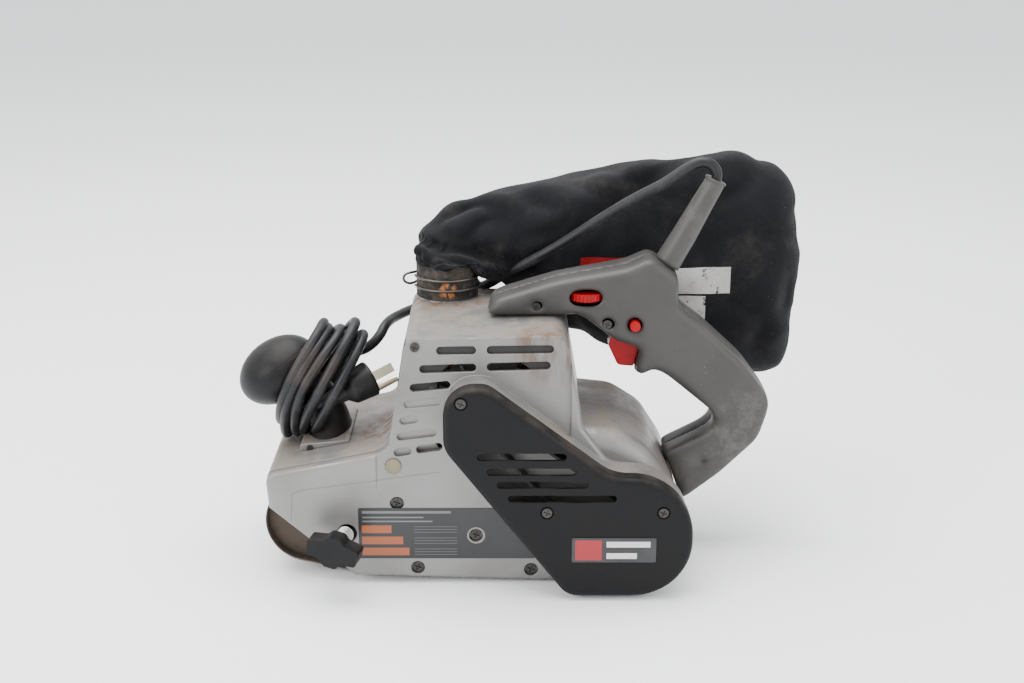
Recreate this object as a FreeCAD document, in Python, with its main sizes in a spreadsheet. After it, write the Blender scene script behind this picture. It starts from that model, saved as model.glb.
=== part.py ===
"""Handheld belt sander, 4 inch by 24 inch belt, as a parametric FreeCAD document.

X runs along the tool with the front at -X, the drive-belt case is at -Y, and Z is up.
The origin is the middle of the sole, on the flat lower run of the sanding belt.
"""
import FreeCAD, Part
import math
import os

import Sketcher
from FreeCAD import Placement, Rotation, Vector

doc = FreeCAD.newDocument("belt_sander")
sheet = doc.addObject("Spreadsheet::Sheet", "Sizes")

DRIVING = {
    "belt_width": 101.6, "belt_gauge": 1.1, "drum_radius": 28.5, "drum_width": 100.0,
    "rear_axle_x": 107.0, "front_axle_x": -106.0, "front_axle_rise": 9.0, "toe_radius": 9.0,
    "toe_x": -66.0, "beam_front": -50.0, "sleeve_gauge": 3.5, "shaft_radius": 6.0, "axle_radius": 5.0,
    "motor_x": 12.0, "motor_height": 118.5, "bore_radius": 40.0, "core_radius": 22.0,
    "stack_length": 46.0, "field_radius": 38.0, "armature_radius": 4.0,
    "wall_outer": 58.0, "wall_inner": 52.4, "far_side": 54.0, "plate_outer": 65.0,
    "case_split": 79.0, "cover_face": 91.0, "cover_wall": 2.5, "case_wall": 3.5,
    "tooth_pitch": 3.0, "motor_teeth": 14.0, "drum_teeth": 42.0, "timing_width": 12.0,
    "timing_gauge": 1.8, "timing_plane": 70.0, "screw_radius": 3.6, "screw_hole": 4.6,
    "vent_height": 5.4, "bearing_small": 9.5, "bearing_large": 13.0,
    "chute_x": -16.8, "chute_y": 41.6, "chute_radius": 18.5,
    "chute_top": 190.0, "cuff_radius": 21.3, "cuff_base": 169.6, "cuff_height": 22.6,
    "handle_half": 19.0, "cord_gauge": 7.0, "trigger_half": 6.5, "belt_play": 0.05,
    "tracking_x": -80.9, "tracking_height": 36.1,
    "winding_x": -99.1, "winding_height": 131.9, "winding_long": 44.0,
    "winding_short": 33.0, "winding_width": 26.0, "winding_lean": 28.7,
    "plug_x": -98.3, "plug_y": -27.3, "plug_height": 112.7,
    "bag_near": 47.0, "bag_depth": 50.0, "front_drum_half": 45.0, "fork_gauge": 4.0,
}

for row, (alias, number) in enumerate(DRIVING.items(), start=1):
    sheet.set("A%d" % row, alias.replace("_", " "))
    sheet.set("B%d" % row, str(number))
    sheet.setAlias("B%d" % row, alias)
doc.recompute()

ALONG_Y = Rotation(Vector(1, 0, 0), -90)
UPRIGHT = Rotation()
parts = []


def value(size):
    """A number, or the value of an expression on the sheet."""
    if isinstance(size, str):
        result = sheet.evalExpression(size)
        return float(getattr(result, "Value", result))
    return float(size)


def bind(thing, field, size):
    """Bind one property of an object to the sheet."""
    thing.setExpression(field, size if isinstance(size, str) else str(size))


def place(thing, x, y, z, rotation=UPRIGHT):
    """Put an object at a point whose coordinates are bound to the sheet."""
    thing.Placement = Placement(Vector(value(x), value(y), value(z)), rotation)
    for field, size in (("x", x), ("y", y), ("z", z)):
        bind(thing, "Placement.Base." + field, size)


def piece(thing, label):
    """Name a finished sub-part and put it on the list."""
    thing.Label = label
    parts.append(thing)
    return thing


def body_named(label):
    """A new PartDesign body for one sub-part."""
    body = doc.addObject("PartDesign::Body", label)
    return piece(body, label)


def sketch_on(body, role, offset=0):
    """A sketch on one of the body's own origin planes, moved along the plane's normal."""
    sketch = body.newObject("Sketcher::SketchObject", body.Name + "_sketch")
    plane = [item for item in body.Origin.OriginFeatures if item.Role == role][0]
    sketch.AttachmentSupport = [(plane, "")]
    sketch.MapMode = "FlatFace"
    bind(sketch, "AttachmentOffset.Base.z", offset)
    return sketch


def corner_points(before, here, after, radius):
    """Start, middle and end of the arc that rounds one corner of an outline."""
    back = (before - here).normalize()
    ahead = (after - here).normalize()
    half = back.getAngle(ahead) / 2
    reach = radius / math.tan(half)
    middle = (back + ahead).normalize() * (radius / math.sin(half) - radius)
    return here + back * reach, here + middle, here + ahead * reach


def outline_edges(corners):
    """Edges of a closed outline through corners (x, y, radius)."""
    spots = [Vector(value(x), value(y), 0) for x, y, _ in corners]
    rounds = []
    for index, (_, _, radius) in enumerate(corners):
        here = spots[index]
        if radius:
            rounds.append(corner_points(spots[index - 1], here, spots[(index + 1) % len(spots)], radius))
        else:
            rounds.append((here, None, here))
    edges = []
    for index, (start, middle, end) in enumerate(rounds):
        if middle is not None:
            edges.append(Part.Arc(start, middle, end))
        following = rounds[(index + 1) % len(rounds)][0]
        if end.distanceToPoint(following) > 1e-4:
            edges.append(Part.LineSegment(end, following))
    return edges


def draw(sketch, corners):
    sketch.addGeometry(outline_edges(corners), False)


def circle(sketch, x, y, radius):
    """A circle whose centre and radius are bound to the sheet."""
    centre = Vector(value(x), value(y), 0)
    index = sketch.addGeometry(Part.Circle(centre, Vector(0, 0, 1), value(radius)), False)
    rules = [("Radius", (index,), radius)]
    rules += [("DistanceX", (-1, 1, index, 3), x), ("DistanceY", (-1, 1, index, 3), y)]
    for kind, where, size in rules:
        rule = sketch.addConstraint(Sketcher.Constraint(kind, *where, value(size)))
        bind(sketch, "Constraints[%d]" % rule, size)


def slot(sketch, left, right, height):
    """A slot with round ends between two centre points."""
    start = Vector(left[0], left[1], 0)
    end = Vector(right[0], right[1], 0)
    along = (end - start).normalize()
    across = Vector(-along.y, along.x, 0) * (value(height) / 2)
    nose = along * (value(height) / 2)
    sketch.addGeometry([
        Part.LineSegment(start + across, end + across),
        Part.Arc(end + across, end + nose, end - across),
        Part.LineSegment(end - across, start - across),
        Part.Arc(start - across, start - nose, start + across)], False)


def pad(body, sketch, length, reverse=False):
    feature = body.newObject("PartDesign::Pad", body.Name + "_pad")
    feature.Profile = sketch
    feature.Reversed = reverse
    bind(feature, "Length", length)
    return feature


def pocket(body, sketch, depth, reverse=False):
    feature = body.newObject("PartDesign::Pocket", body.Name + "_pocket")
    feature.Profile = sketch
    feature.Reversed = reverse
    bind(feature, "Length", depth)
    return feature


def round_edges(body, radius, wanted):
    """Fillet the edges of the body's last feature that the test picks."""
    doc.recompute()
    base = body.Tip
    names = ["Edge%d" % number for number, edge in enumerate(base.Shape.Edges, 1) if wanted(edge)]
    feature = body.newObject("PartDesign::Fillet", body.Name + "_fillet")
    feature.Base = (base, names)
    bind(feature, "Radius", radius)
    return feature


def on_dome_side(edge):
    """True for the dome's long edges at the castings' two sides."""
    box = edge.BoundBox
    return box.YLength < 0.01 and box.XMin > 73.9 and box.ZMin > 35.9 and box.ZMax < 106.1


def lies_at_y(y):
    """A test for edges that lie wholly in one plane across Y."""
    return lambda edge: abs(edge.BoundBox.YMin - y) < 0.01 and abs(edge.BoundBox.YMax - y) < 0.01


def extruded(label, role, offset, length, corners, reverse=False):
    """A body padded from one outline."""
    body = body_named(label)
    sketch = sketch_on(body, role, offset)
    draw(sketch, corners)
    pad(body, sketch, length, reverse)
    return body


def turned(label, steps, x, y, z, rotation=ALONG_Y, bore=None):
    """A body turned about its own Z axis: steps are (radius, start, length)."""
    body = body_named(label)
    total = 0
    for radius, start, length in steps:
        sketch = sketch_on(body, "XY_Plane", start)
        circle(sketch, 0, 0, radius)
        pad(body, sketch, length)
        total = max(total, value(start) + value(length))
    if bore is not None:
        sketch = sketch_on(body, "XY_Plane", total)
        circle(sketch, 0, 0, bore)
        pocket(body, sketch, total - min(value(step[1]) for step in steps))
    place(body, x, y, z, rotation)
    return body


def revolved(label, corners, x, y, z, rotation=ALONG_Y):
    """A body revolved about its own Z axis from an outline in radius and height."""
    body = body_named(label)
    sketch = sketch_on(body, "XZ_Plane")
    draw(sketch, corners)
    feature = body.newObject("PartDesign::Revolution", body.Name + "_turn")
    feature.Profile = sketch
    feature.ReferenceAxis = (sketch, ["V_Axis"])
    feature.Angle = 360
    place(body, x, y, z, rotation)
    return body


def group(label, solids):
    """Like pieces kept together in one sub-part as separate solids."""
    feature = doc.addObject("Part::Feature", label)
    feature.Shape = Part.makeCompound(solids)
    return piece(feature, label)


def screw(x, y, z, direction, head, length):
    """A pan-head screw with a cross slot; the point is the underside of its head."""
    out = Vector(*direction).normalize()
    at = Vector(x, y, z)
    shank = Part.makeCylinder(head * 0.5, length, at, out * -1)
    top = Part.makeCylinder(head, head * 0.55, at, out)
    side = out.cross(Vector(0.3, 0.2, 0.9)).normalize()
    for turn in (0, 90):
        across = Rotation(out, turn).multVec(side)
        blade = Part.makeBox(head * 1.3, head * 0.22, head * 0.4)
        blade.translate(Vector(-head * 0.65, -head * 0.11, 0))
        turn_in = Placement(at + out * (head * 0.3), Rotation(across, out.cross(across), out, "XYZ"))
        blade.Placement = turn_in.multiply(blade.Placement)
        top = top.cut(blade)
    return top.fuse(shank)


def band_edges(wheels, extra):
    """Outline of a belt round wheels (x, z, radius) listed clockwise, grown by extra."""
    count = len(wheels)
    touches = []
    for index in range(count):
        ax, az, ar = wheels[index]
        bx, bz, br = wheels[(index + 1) % count]
        run = math.hypot(bx - ax, bz - az)
        heading = math.atan2(bz - az, bx - ax)
        normal = heading + math.acos((ar - br) / run)
        side = Vector(math.cos(normal), math.sin(normal), 0)
        leave = Vector(ax, az, 0) + side * (ar + extra)
        arrive = Vector(bx, bz, 0) + side * (br + extra)
        touches.append((leave, arrive))
    edges = []
    for index in range(count):
        leave, arrive = touches[index]
        edges.append(Part.LineSegment(leave, arrive))
        nx, nz, nr = wheels[(index + 1) % count]
        next_leave = touches[(index + 1) % count][0]
        centre = Vector(nx, nz, 0)
        start_angle = math.atan2(arrive.y - nz, arrive.x - nx)
        end_angle = math.atan2(next_leave.y - nz, next_leave.x - nx)
        while end_angle > start_angle:
            end_angle -= 2 * math.pi
        middle = (start_angle + end_angle) / 2
        top = centre + Vector(math.cos(middle), math.sin(middle), 0) * (nr + extra)
        edges.append(Part.Arc(arrive, top, next_leave))
    return edges


def band(label, wheels, gauge, near_edge, width):
    """A flat belt of one thickness that runs round a list of wheels with a little play."""
    body = body_named(label)
    sketch = sketch_on(body, "XZ_Plane", near_edge)
    sketch.addGeometry(band_edges(wheels, value(gauge)), False)
    sketch.addGeometry(band_edges(wheels, value("Sizes.belt_play")), False)
    pad(body, sketch, width, True)
    return body


# ---- Places that several pieces share --------------------------------------------------

REAR_X = value("Sizes.rear_axle_x")
REAR_Z = value("Sizes.drum_radius + Sizes.belt_gauge")
FRONT_X = value("Sizes.front_axle_x")
FRONT_Z = value("Sizes.drum_radius + Sizes.belt_gauge + Sizes.front_axle_rise")
REAR_Z_RULE = "Sizes.drum_radius + Sizes.belt_gauge"
FRONT_Z_RULE = "Sizes.drum_radius + Sizes.belt_gauge + Sizes.front_axle_rise"
MOTOR_X = value("Sizes.motor_x")
MOTOR_Z = value("Sizes.motor_height")

# Side view of the dome over the rear drum, and of the side casting's rear edge, which lies lower.
DOME = [(74, 106, 0), (97, 103.5, 24), (118, 90, 24), (133, 66, 60), (144, 36, 0)]
SIDE_REAR = [(73, 110, 6), (91, 85, 14), (124, 82, 24), (137.5, 52, 0)]
# Side view of the drive-belt case and its cover.
CASE = [(-15.3, 145.4, 19.8), (12.5, 145.4, 14), (92.4, 85, 30), (144, 85, 40), (144, 2.9, 38),
        (63.5, 2.9, 14), (-15.3, 104.5, 20)]


def shrunk(corners, amount):
    """The outline moved inwards by an amount."""
    edges = [edge.toShape() for edge in outline_edges(corners)]
    wire = Part.Wire(Part.__sortEdges__(edges))
    return wire.makeOffset2D(-amount)


def draw_wire(sketch, wire):
    """Add a flat wire's lines and arcs to a sketch."""
    for edge in wire.OrderedEdges:
        start = edge.valueAt(edge.FirstParameter)
        end = edge.valueAt(edge.LastParameter)
        if isinstance(edge.Curve, Part.Line):
            sketch.addGeometry(Part.LineSegment(start, end), False)
        else:
            middle = edge.valueAt((edge.FirstParameter + edge.LastParameter) / 2)
            sketch.addGeometry(Part.Arc(start, middle, end), False)


# ---- Castings --------------------------------------------------------------------------

def main_housing():
    """Cast housing: nose, motor box with its bore, hollow dome, and the beam inside the belt."""
    body = body_named("main_housing")
    sketch = sketch_on(body, "XZ_Plane", "-Sizes.far_side")
    draw(sketch, [(-131, 55, 0), (-132.5, 77.5, 7), (-52.5, 93.5, 14), (-40.5, 168, 9), (63, 170, 11)]
         + DOME + [(141, 30, 0), (137, 18, 6), (118, 4, 8), (-72, 5, 5), (-118, 44, 3)])
    pad(body, sketch, "Sizes.far_side + Sizes.wall_outer")
    round_edges(body, 12, on_dome_side)
    tunnel = sketch_on(body, "XZ_Plane", "-Sizes.far_side - 1")
    draw(tunnel, [(-150, 20, 0), (-150, 61, 0), (-127, 63, 0), (-119, 73.5, 5), (-60, 83.5, 10),
                  (-33, 72.2, 12), (62, 69.5, 9), (70, 99, 8), (95, 97.5, 19), (114.5, 85.5, 19),
                  (129, 62.5, 0), (134, 50, 0), (160, 40, 0), (160, -10, 0), (-150, -10, 0)])
    draw(tunnel, [("Sizes.beam_front", 6, 0), ("Sizes.beam_front", 55, 4), (64, 51.5, 4), (72, 42, 3),
                  (72, 18, 3), (66, 6, 0)])
    pocket(body, tunnel, "Sizes.far_side + 1 + Sizes.wall_inner", True)
    bore = sketch_on(body, "XZ_Plane", "-Sizes.far_side - 1")
    circle(bore, "Sizes.motor_x", "Sizes.motor_height", "Sizes.bore_radius")
    pocket(body, bore, "Sizes.far_side + Sizes.wall_outer + 2", True)
    bearing = sketch_on(body, "XZ_Plane", "Sizes.wall_outer + 1")
    circle(bearing, "Sizes.rear_axle_x", REAR_Z_RULE, "Sizes.bearing_large")
    pocket(body, bearing, "Sizes.wall_outer - Sizes.wall_inner + 2")
    guide = sketch_on(body, "YZ_Plane", "Sizes.beam_front - 1")
    draw(guide, [(-14, 27, 0), (14, 27, 0), (14, 45, 0), (-14, 45, 0)])
    pocket(body, guide, 41, True)
    lever_seat = sketch_on(body, "XZ_Plane", "-Sizes.far_side - 1")
    draw(lever_seat, [(-60, 22, 0), (10, 22, 0), (10, 40, 0), (-60, 40, 0)])
    pocket(body, lever_seat, 13, True)
    tracking = sketch_on(body, "XZ_Plane", "Sizes.wall_outer + 1")
    circle(tracking, "Sizes.tracking_x + 1.4", "Sizes.tracking_height", 6.4)
    pocket(body, tracking, "Sizes.wall_outer - Sizes.wall_inner + 2")
    boss = sketch_on(body, "XY_Plane", 160)
    circle(boss, "Sizes.chute_x", "Sizes.chute_y", "Sizes.chute_radius + 2.2")
    pad(body, boss, "Sizes.cuff_base - 160.4")
    seat = sketch_on(body, "XY_Plane", "Sizes.cuff_base")
    circle(seat, "Sizes.chute_x", "Sizes.chute_y", "Sizes.chute_radius + 0.05")
    pocket(body, seat, "Sizes.cuff_base - 160")
    return body


def side_cover():
    """Side casting: label panel, leaning vent panel, and the rim of the drive-belt case."""
    body = body_named("side_cover")
    plate = sketch_on(body, "XZ_Plane", "Sizes.wall_outer")
    draw(plate, [(-130.8, 54, 3), (-132.5, 76.5, 7), (-52, 92.5, 14), (-40, 168, 9), (63, 170, 11)]
         + SIDE_REAR + [(141, 30, 0), (137, 18, 6), (112, 3, 8), (46, 2, 0), (-76, 5.5, 5)])
    pad(body, plate, "Sizes.plate_outer - Sizes.wall_outer")
    round_edges(body, 2.5, lies_at_y(-value("Sizes.plate_outer")))
    lean = sketch_on(body, "YZ_Plane", -60)
    draw(lean, [(-65, 66, 0), (-59.4, 171, 0), (-67, 171, 0), (-67, 66, 0)])
    pocket(body, lean, 126, True)
    case = sketch_on(body, "XZ_Plane", "Sizes.wall_outer + 0.8")
    draw_wire(case, shrunk(CASE, 1.0))
    pad(body, case, "Sizes.case_split - Sizes.wall_outer - 0.8")
    cavity = sketch_on(body, "XZ_Plane", "Sizes.case_split")
    draw_wire(cavity, shrunk(CASE, 1.0 + value("Sizes.case_wall")))
    pocket(body, cavity, "Sizes.case_split - Sizes.wall_outer - 4")
    shafts = sketch_on(body, "XZ_Plane", "Sizes.plate_outer + 1")
    circle(shafts, "Sizes.motor_x", "Sizes.motor_height", "Sizes.bearing_small")
    circle(shafts, "Sizes.rear_axle_x", REAR_Z_RULE, 8)
    circle(shafts, "Sizes.tracking_x + 0.6", "Sizes.tracking_height", 6.6)
    pocket(body, shafts, "Sizes.plate_outer - Sizes.wall_outer + 2")
    vents = sketch_on(body, "XZ_Plane", "Sizes.plate_outer + 1")
    for left, right in OPEN_VENTS:
        slot(vents, left, right, "Sizes.vent_height")
    pocket(body, vents, "Sizes.plate_outer - Sizes.wall_outer + 2")
    blind = sketch_on(body, "XZ_Plane", "Sizes.plate_outer + 1")
    for left, right in BLIND_VENTS:
        slot(blind, left, right, "Sizes.vent_height")
    pocket(body, blind, 5.6)
    recess = sketch_on(body, "XZ_Plane", "Sizes.plate_outer + 1")
    for x, z in SIDE_SCREWS:
        circle(recess, x, z, "Sizes.screw_hole")
    circle(recess, -48.9, 83.4, 5.05)
    pocket(body, recess, 4.5)
    holes = sketch_on(body, "XZ_Plane", "Sizes.plate_outer + 1")
    for x, z in SIDE_SCREWS:
        circle(holes, x, z, 2.4)
    pocket(body, holes, "Sizes.plate_outer - Sizes.wall_outer + 2")


# Vent rows, each from the centre of its front end to the centre of its rear end.
OPEN_VENTS = [((-17.5, 160.6), (2.6, 160.9)), ((14.6, 161), (52, 161.6)), ((-28.4, 148.4), (2.6, 149.4)),
              ((14.6, 149.8), (50, 150.8)), ((-34.6, 136), (-14, 138)), ((-31.2, 94.6), (-19.5, 96.4))]
BLIND_VENTS = [((-38.6, 125), (-20, 127)), ((-41.4, 114), (-35, 115)), ((-43.6, 103.4), (-23, 106)),
               ((-45.7, 92.4), (-39.5, 93.4))]
SIDE_SCREWS = [(-47, 57.5), (-34.1, 11.5), (4.4, 34.6), (40.6, 10), (-33.8, 163)]
COVER_SCREWS = [(-3.9, 136), (50.3, 62.3), (124.4, 62.3)]
COVER_SLOTS = [((8.4, 100.4), (60, 100.4)), ((14.7, 90.3), (66, 90.3)), ((20.9, 81.4), (74, 81.4)),
               ((27.9, 71.8), (92, 71.8))]


def belt_cover():
    """Moulded cap over the drive belt, with four cooling slots."""
    body = body_named("belt_cover")
    sketch = sketch_on(body, "XZ_Plane", "Sizes.case_split")
    draw(sketch, CASE)
    pad(body, sketch, "Sizes.cover_face - Sizes.case_split")
    round_edges(body, 4, lies_at_y(-value("Sizes.cover_face")))
    hollow = sketch_on(body, "XZ_Plane", "Sizes.case_split")
    draw_wire(hollow, shrunk(CASE, 1.0 + value("Sizes.case_wall")))
    pocket(body, hollow, "Sizes.cover_face - Sizes.case_split - Sizes.cover_wall", True)
    openings = sketch_on(body, "XZ_Plane", "Sizes.cover_face + 1")
    for left, right in COVER_SLOTS:
        slot(openings, left, right, 5)
    for x, z in COVER_SCREWS:
        circle(openings, x, z, 2.2)
    pocket(body, openings, "Sizes.cover_wall + 2")
    recess = sketch_on(body, "XZ_Plane", "Sizes.cover_face + 1")
    for x, z in COVER_SCREWS:
        circle(recess, x, z, "Sizes.screw_hole - 0.3")
    pocket(body, recess, 2.4)


def motor_end_cap():
    """Round cap over the brush end of the motor, with air inlets and the far bearing's hub."""
    body = body_named("motor_end_cap")
    sketch = sketch_on(body, "XZ_Plane", "-Sizes.far_side - 18")
    circle(sketch, "Sizes.motor_x", "Sizes.motor_height", "Sizes.bore_radius + 3.6")
    pad(body, sketch, 18)
    round_edges(body, 5, lies_at_y(value("Sizes.far_side") + 18))
    inside = sketch_on(body, "XZ_Plane", "-Sizes.far_side")
    circle(inside, "Sizes.motor_x", "Sizes.motor_height", "Sizes.bore_radius")
    circle(inside, "Sizes.motor_x", "Sizes.motor_height", "Sizes.bearing_small + 3")
    pocket(body, inside, 15)
    hub = sketch_on(body, "XZ_Plane", "-Sizes.far_side")
    circle(hub, "Sizes.motor_x", "Sizes.motor_height", "Sizes.bearing_small")
    pocket(body, hub, 14)
    flat = sketch_on(body, "XZ_Plane", "-Sizes.far_side - 19")
    draw(flat, [(-40, 159.4, 0), (60, 159.4, 0), (60, 170, 0), (-40, 170, 0)])
    pocket(body, flat, 20, True)
    inlets = sketch_on(body, "XZ_Plane", "-Sizes.far_side - 19")
    for rise in (-30, -22, 22, 30):
        slot(inlets, (MOTOR_X - 16, MOTOR_Z + rise), (MOTOR_X + 16, MOTOR_Z + rise), 4)
    for rise in (-10, 0, 10):
        slot(inlets, (MOTOR_X - 31, MOTOR_Z + rise), (MOTOR_X - 19, MOTOR_Z + rise), 4)
        slot(inlets, (MOTOR_X + 19, MOTOR_Z + rise), (MOTOR_X + 31, MOTOR_Z + rise), 4)
    pocket(body, inlets, 6, True)


def platen():
    """Steel shoe under the beam and the cork pad that backs the sanding belt."""
    extruded("platen_shoe", "XZ_Plane", -49, 98,
             [(-64, 8.2, 0), (-64, 3.3, 2), (70, 3.3, 0), (70, 5.9, 0), (-51, 5.9, 0), (-61, 8.2, 0)])
    extruded("cork_pad", "XZ_Plane", -49, 98, [(-62, 1.2, 0), (70, 1.2, 0), (70, 3.2, 0), (-62, 3.2, 0)])


# ---- Motor and drive -------------------------------------------------------------------

def on_motor(label, steps, bore=None):
    return turned(label, steps, "Sizes.motor_x", 0, "Sizes.motor_height", ALONG_Y, bore)


def toothed(label, teeth, x, z, start, bore):
    """A pulley with round tooth spaces; its centre runs along Y."""
    radius = value("Sizes.tooth_pitch * %s / (2 * pi)" % teeth) - 0.4
    body = body_named(label)
    disc = sketch_on(body, "XY_Plane", start)
    circle(disc, 0, 0, "Sizes.tooth_pitch * %s / (2 * pi) - 0.4" % teeth)
    pad(body, disc, "Sizes.timing_width + 1")
    flange = sketch_on(body, "XY_Plane", "%s - 1" % start)
    circle(flange, 0, 0, "Sizes.tooth_pitch * %s / (2 * pi) + 1" % teeth)
    pad(body, flange, 1)
    hole = sketch_on(body, "XY_Plane", "%s - 2" % start)
    circle(hole, 0, 0, bore)
    pocket(body, hole, "Sizes.timing_width + 4", True)
    space = sketch_on(body, "XY_Plane", start)
    circle(space, radius, 0, 0.75)
    groove = pocket(body, space, "Sizes.timing_width + 2", True)
    pattern = body.newObject("PartDesign::PolarPattern", label + "_teeth")
    pattern.Originals = [groove]
    pattern.Axis = (space, ["N_Axis"])
    pattern.Angle = 360
    bind(pattern, "Occurrences", teeth)
    body.Tip = pattern
    place(body, x, 0, z, ALONG_Y)


def motor():
    """Universal motor across the tool: shaft, core, windings, commutator, fan, field, brushes."""
    on_motor("motor_shaft", [("Sizes.armature_radius", -80, 148)])
    on_shaft = "Sizes.armature_radius + 0.02"
    on_motor("armature_core", [("Sizes.core_radius", -36, "Sizes.stack_length")], on_shaft)
    on_motor("armature_windings", [(18.5, -43, 6.8), (18.5, 10.2, 9.8)], on_shaft)
    on_motor("commutator", [(13, 24, 18)], on_shaft)
    fan = on_motor("cooling_fan", [(35, -47.4, 1.6), (9, -55, 8)], None)
    blade = sketch_on(fan, "XY_Plane", -54)
    draw(blade, [(8, -0.8, 0), (34, 6, 0), (34, 7.8, 0), (8, 0.8, 0)])
    vane = pad(fan, blade, 7)
    pattern = fan.newObject("PartDesign::PolarPattern", "fan_blades")
    pattern.Originals = [vane]
    pattern.Axis = (blade, ["N_Axis"])
    pattern.Angle = 360
    pattern.Occurrences = 11
    fan.Tip = pattern
    bore = sketch_on(fan, "XY_Plane", -56)
    circle(bore, 0, 0, on_shaft)
    pocket(fan, bore, 12, True)
    stack = [("Sizes.field_radius", -36, "Sizes.stack_length")]
    field = on_motor("field_core", stack, "Sizes.core_radius + 0.7")
    sides = sketch_on(field, "XY_Plane", -37)
    for side in (-1, 1):
        draw(sides, [(side * 33, -40, 0), (side * 41, -40, 0), (side * 41, 40, 0), (side * 33, 40, 0)])
    pocket(field, sides, "Sizes.stack_length + 2", True)
    coils = []
    for side in (-1, 1):
        for start in (-44, 10.3):
            ring = Part.makeCylinder(35, 7.6, Vector(0, start, 0), Vector(0, 1, 0))
            ring = ring.cut(Part.makeCylinder(24, 8, Vector(0, start - 0.2, 0), Vector(0, 1, 0)))
            half = Part.makeBox(52, 10, 22, Vector(-26, start - 1, 10 if side > 0 else -32))
            coils.append(ring.common(half))
    field_coils = group("field_coils", coils)
    place(field_coils, "Sizes.motor_x", 0, "Sizes.motor_height")
    holders = []
    brushes = []
    for side in (-1, 1):
        block = Part.makeBox(21, 12, 12, Vector(15 if side > 0 else -36, 27, -6))
        core = Part.makeBox(23, 8.1, 8.1, Vector(14 if side > 0 else -37, 28.95, -4.05))
        holders.append(block.cut(core))
        brushes.append(Part.makeBox(15, 8, 8, Vector(13.1 if side > 0 else -28.1, 29, -4)))
    place(group("brush_holders", holders), "Sizes.motor_x", 0, "Sizes.motor_height")
    place(group("carbon_brushes", brushes), "Sizes.motor_x", 0, "Sizes.motor_height")
    toothed("motor_pulley", "Sizes.motor_teeth", "Sizes.motor_x", "Sizes.motor_height", -77, on_shaft)


def ring(x, z, start, length, outer, inner):
    tube = Part.makeCylinder(outer, length, Vector(x, start, z), Vector(0, 1, 0))
    return tube.cut(Part.makeCylinder(inner, length, Vector(x, start, z), Vector(0, 1, 0)))


def bearings():
    """Ball bearings of the motor shaft and the drive shaft, shown as closed rings."""
    small = value("Sizes.bearing_small")
    large = value("Sizes.bearing_large")
    shaft = value("Sizes.armature_radius") + 0.03
    axle = value("Sizes.shaft_radius") + 0.03
    group("shaft_bearings", [
        ring(MOTOR_X, MOTOR_Z, -63.6, 6, small, shaft), ring(MOTOR_X, MOTOR_Z, 60, 7, small, shaft),
        ring(REAR_X, REAR_Z, -57.9, 5.5, large, axle)])


def rear_drum():
    """Driven drum: steel shaft, ribbed aluminium hub, rubber sleeve and toothed pulley."""
    turned("drive_shaft", [("Sizes.shaft_radius", -80, 128)], "Sizes.rear_axle_x", 0, REAR_Z_RULE)
    hub = "Sizes.drum_radius - Sizes.sleeve_gauge"
    rim = value(hub)
    section = [(6.02, -48, 0), (6.02, 47, 0), (12, 47, 0), (12, 3, 2), (21.5, 3, 2), (21.5, 50, 0),
               (rim, 50, 0), (rim, -50, 0), (21.5, -50, 0), (21.5, -3, 2), (12, -3, 2), (12, -48, 0)]
    revolved("rear_drum", section, "Sizes.rear_axle_x", 0, REAR_Z_RULE)
    turned("rear_drum_sleeve", [("Sizes.drum_radius", -50, "Sizes.drum_width")], "Sizes.rear_axle_x", 0,
           REAR_Z_RULE, ALONG_Y, hub + " + 0.02")
    toothed("drum_pulley", "Sizes.drum_teeth", "Sizes.rear_axle_x", REAR_Z_RULE, -77,
            "Sizes.shaft_radius + 0.02")


def front_drum():
    """Idler drum on its fixed axle, with two bearings."""
    half = value("Sizes.front_drum_half")
    rim = value("Sizes.drum_radius")
    section = [(11.05, half - 7.2, 0), (11.05, half, 0), (rim, half, 0), (rim, -half, 0), (11.05, -half, 0),
               (11.05, 7.2 - half, 0), (9, 7.2 - half, 0), (9, half - 7.2, 0)]
    revolved("front_drum", section, "Sizes.front_axle_x", 0, FRONT_Z_RULE)
    turned("front_axle", [("Sizes.axle_radius", -49.6, 99.2)], "Sizes.front_axle_x", 0, FRONT_Z_RULE)
    races = [ring(FRONT_X, FRONT_Z, start, 7, 11, 5.03) for start in (half - 7.1, 0.1 - half)]
    group("front_drum_bearings", races)


def front_fork():
    """Fork that holds the front axle and turns a little on an upright pin in the slide bar."""
    body = body_named("front_fork")
    top = sketch_on(body, "XY_Plane", FRONT_Z - 7)
    inner = value("Sizes.front_drum_half") + 0.6
    outer = inner + value("Sizes.fork_gauge")
    draw(top, [(-115, -outer, 3), (-70.5, -outer, 3), (-70.5, outer, 3), (-115, outer, 3), (-115, inner, 0),
               (-75.5, inner, 0), (-75.5, -inner, 0), (-115, -inner, 0)])
    pad(body, top, 14)
    clevis = sketch_on(body, "XZ_Plane", -9)
    draw(clevis, [(-76, 23, 0), (-76, 49.6, 0), (-60, 49.6, 2), (-60, 45.4, 0), (-71, 45.4, 0),
                  (-71, 26.6, 0), (-60, 26.6, 0), (-60, 23, 2)])
    pad(body, clevis, 18)
    seat = sketch_on(body, "XZ_Plane", 55)
    circle(seat, "Sizes.front_axle_x", FRONT_Z_RULE, "Sizes.axle_radius + 0.02")
    pocket(body, seat, 110)
    pin = sketch_on(body, "XY_Plane", 20)
    circle(pin, -65.5, 0, 2.52)
    pocket(body, pin, 32, True)
    turned("fork_pivot_pin", [(2.5, 0, 27.6)], -65.5, 0, 22.6, UPRIGHT)


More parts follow.
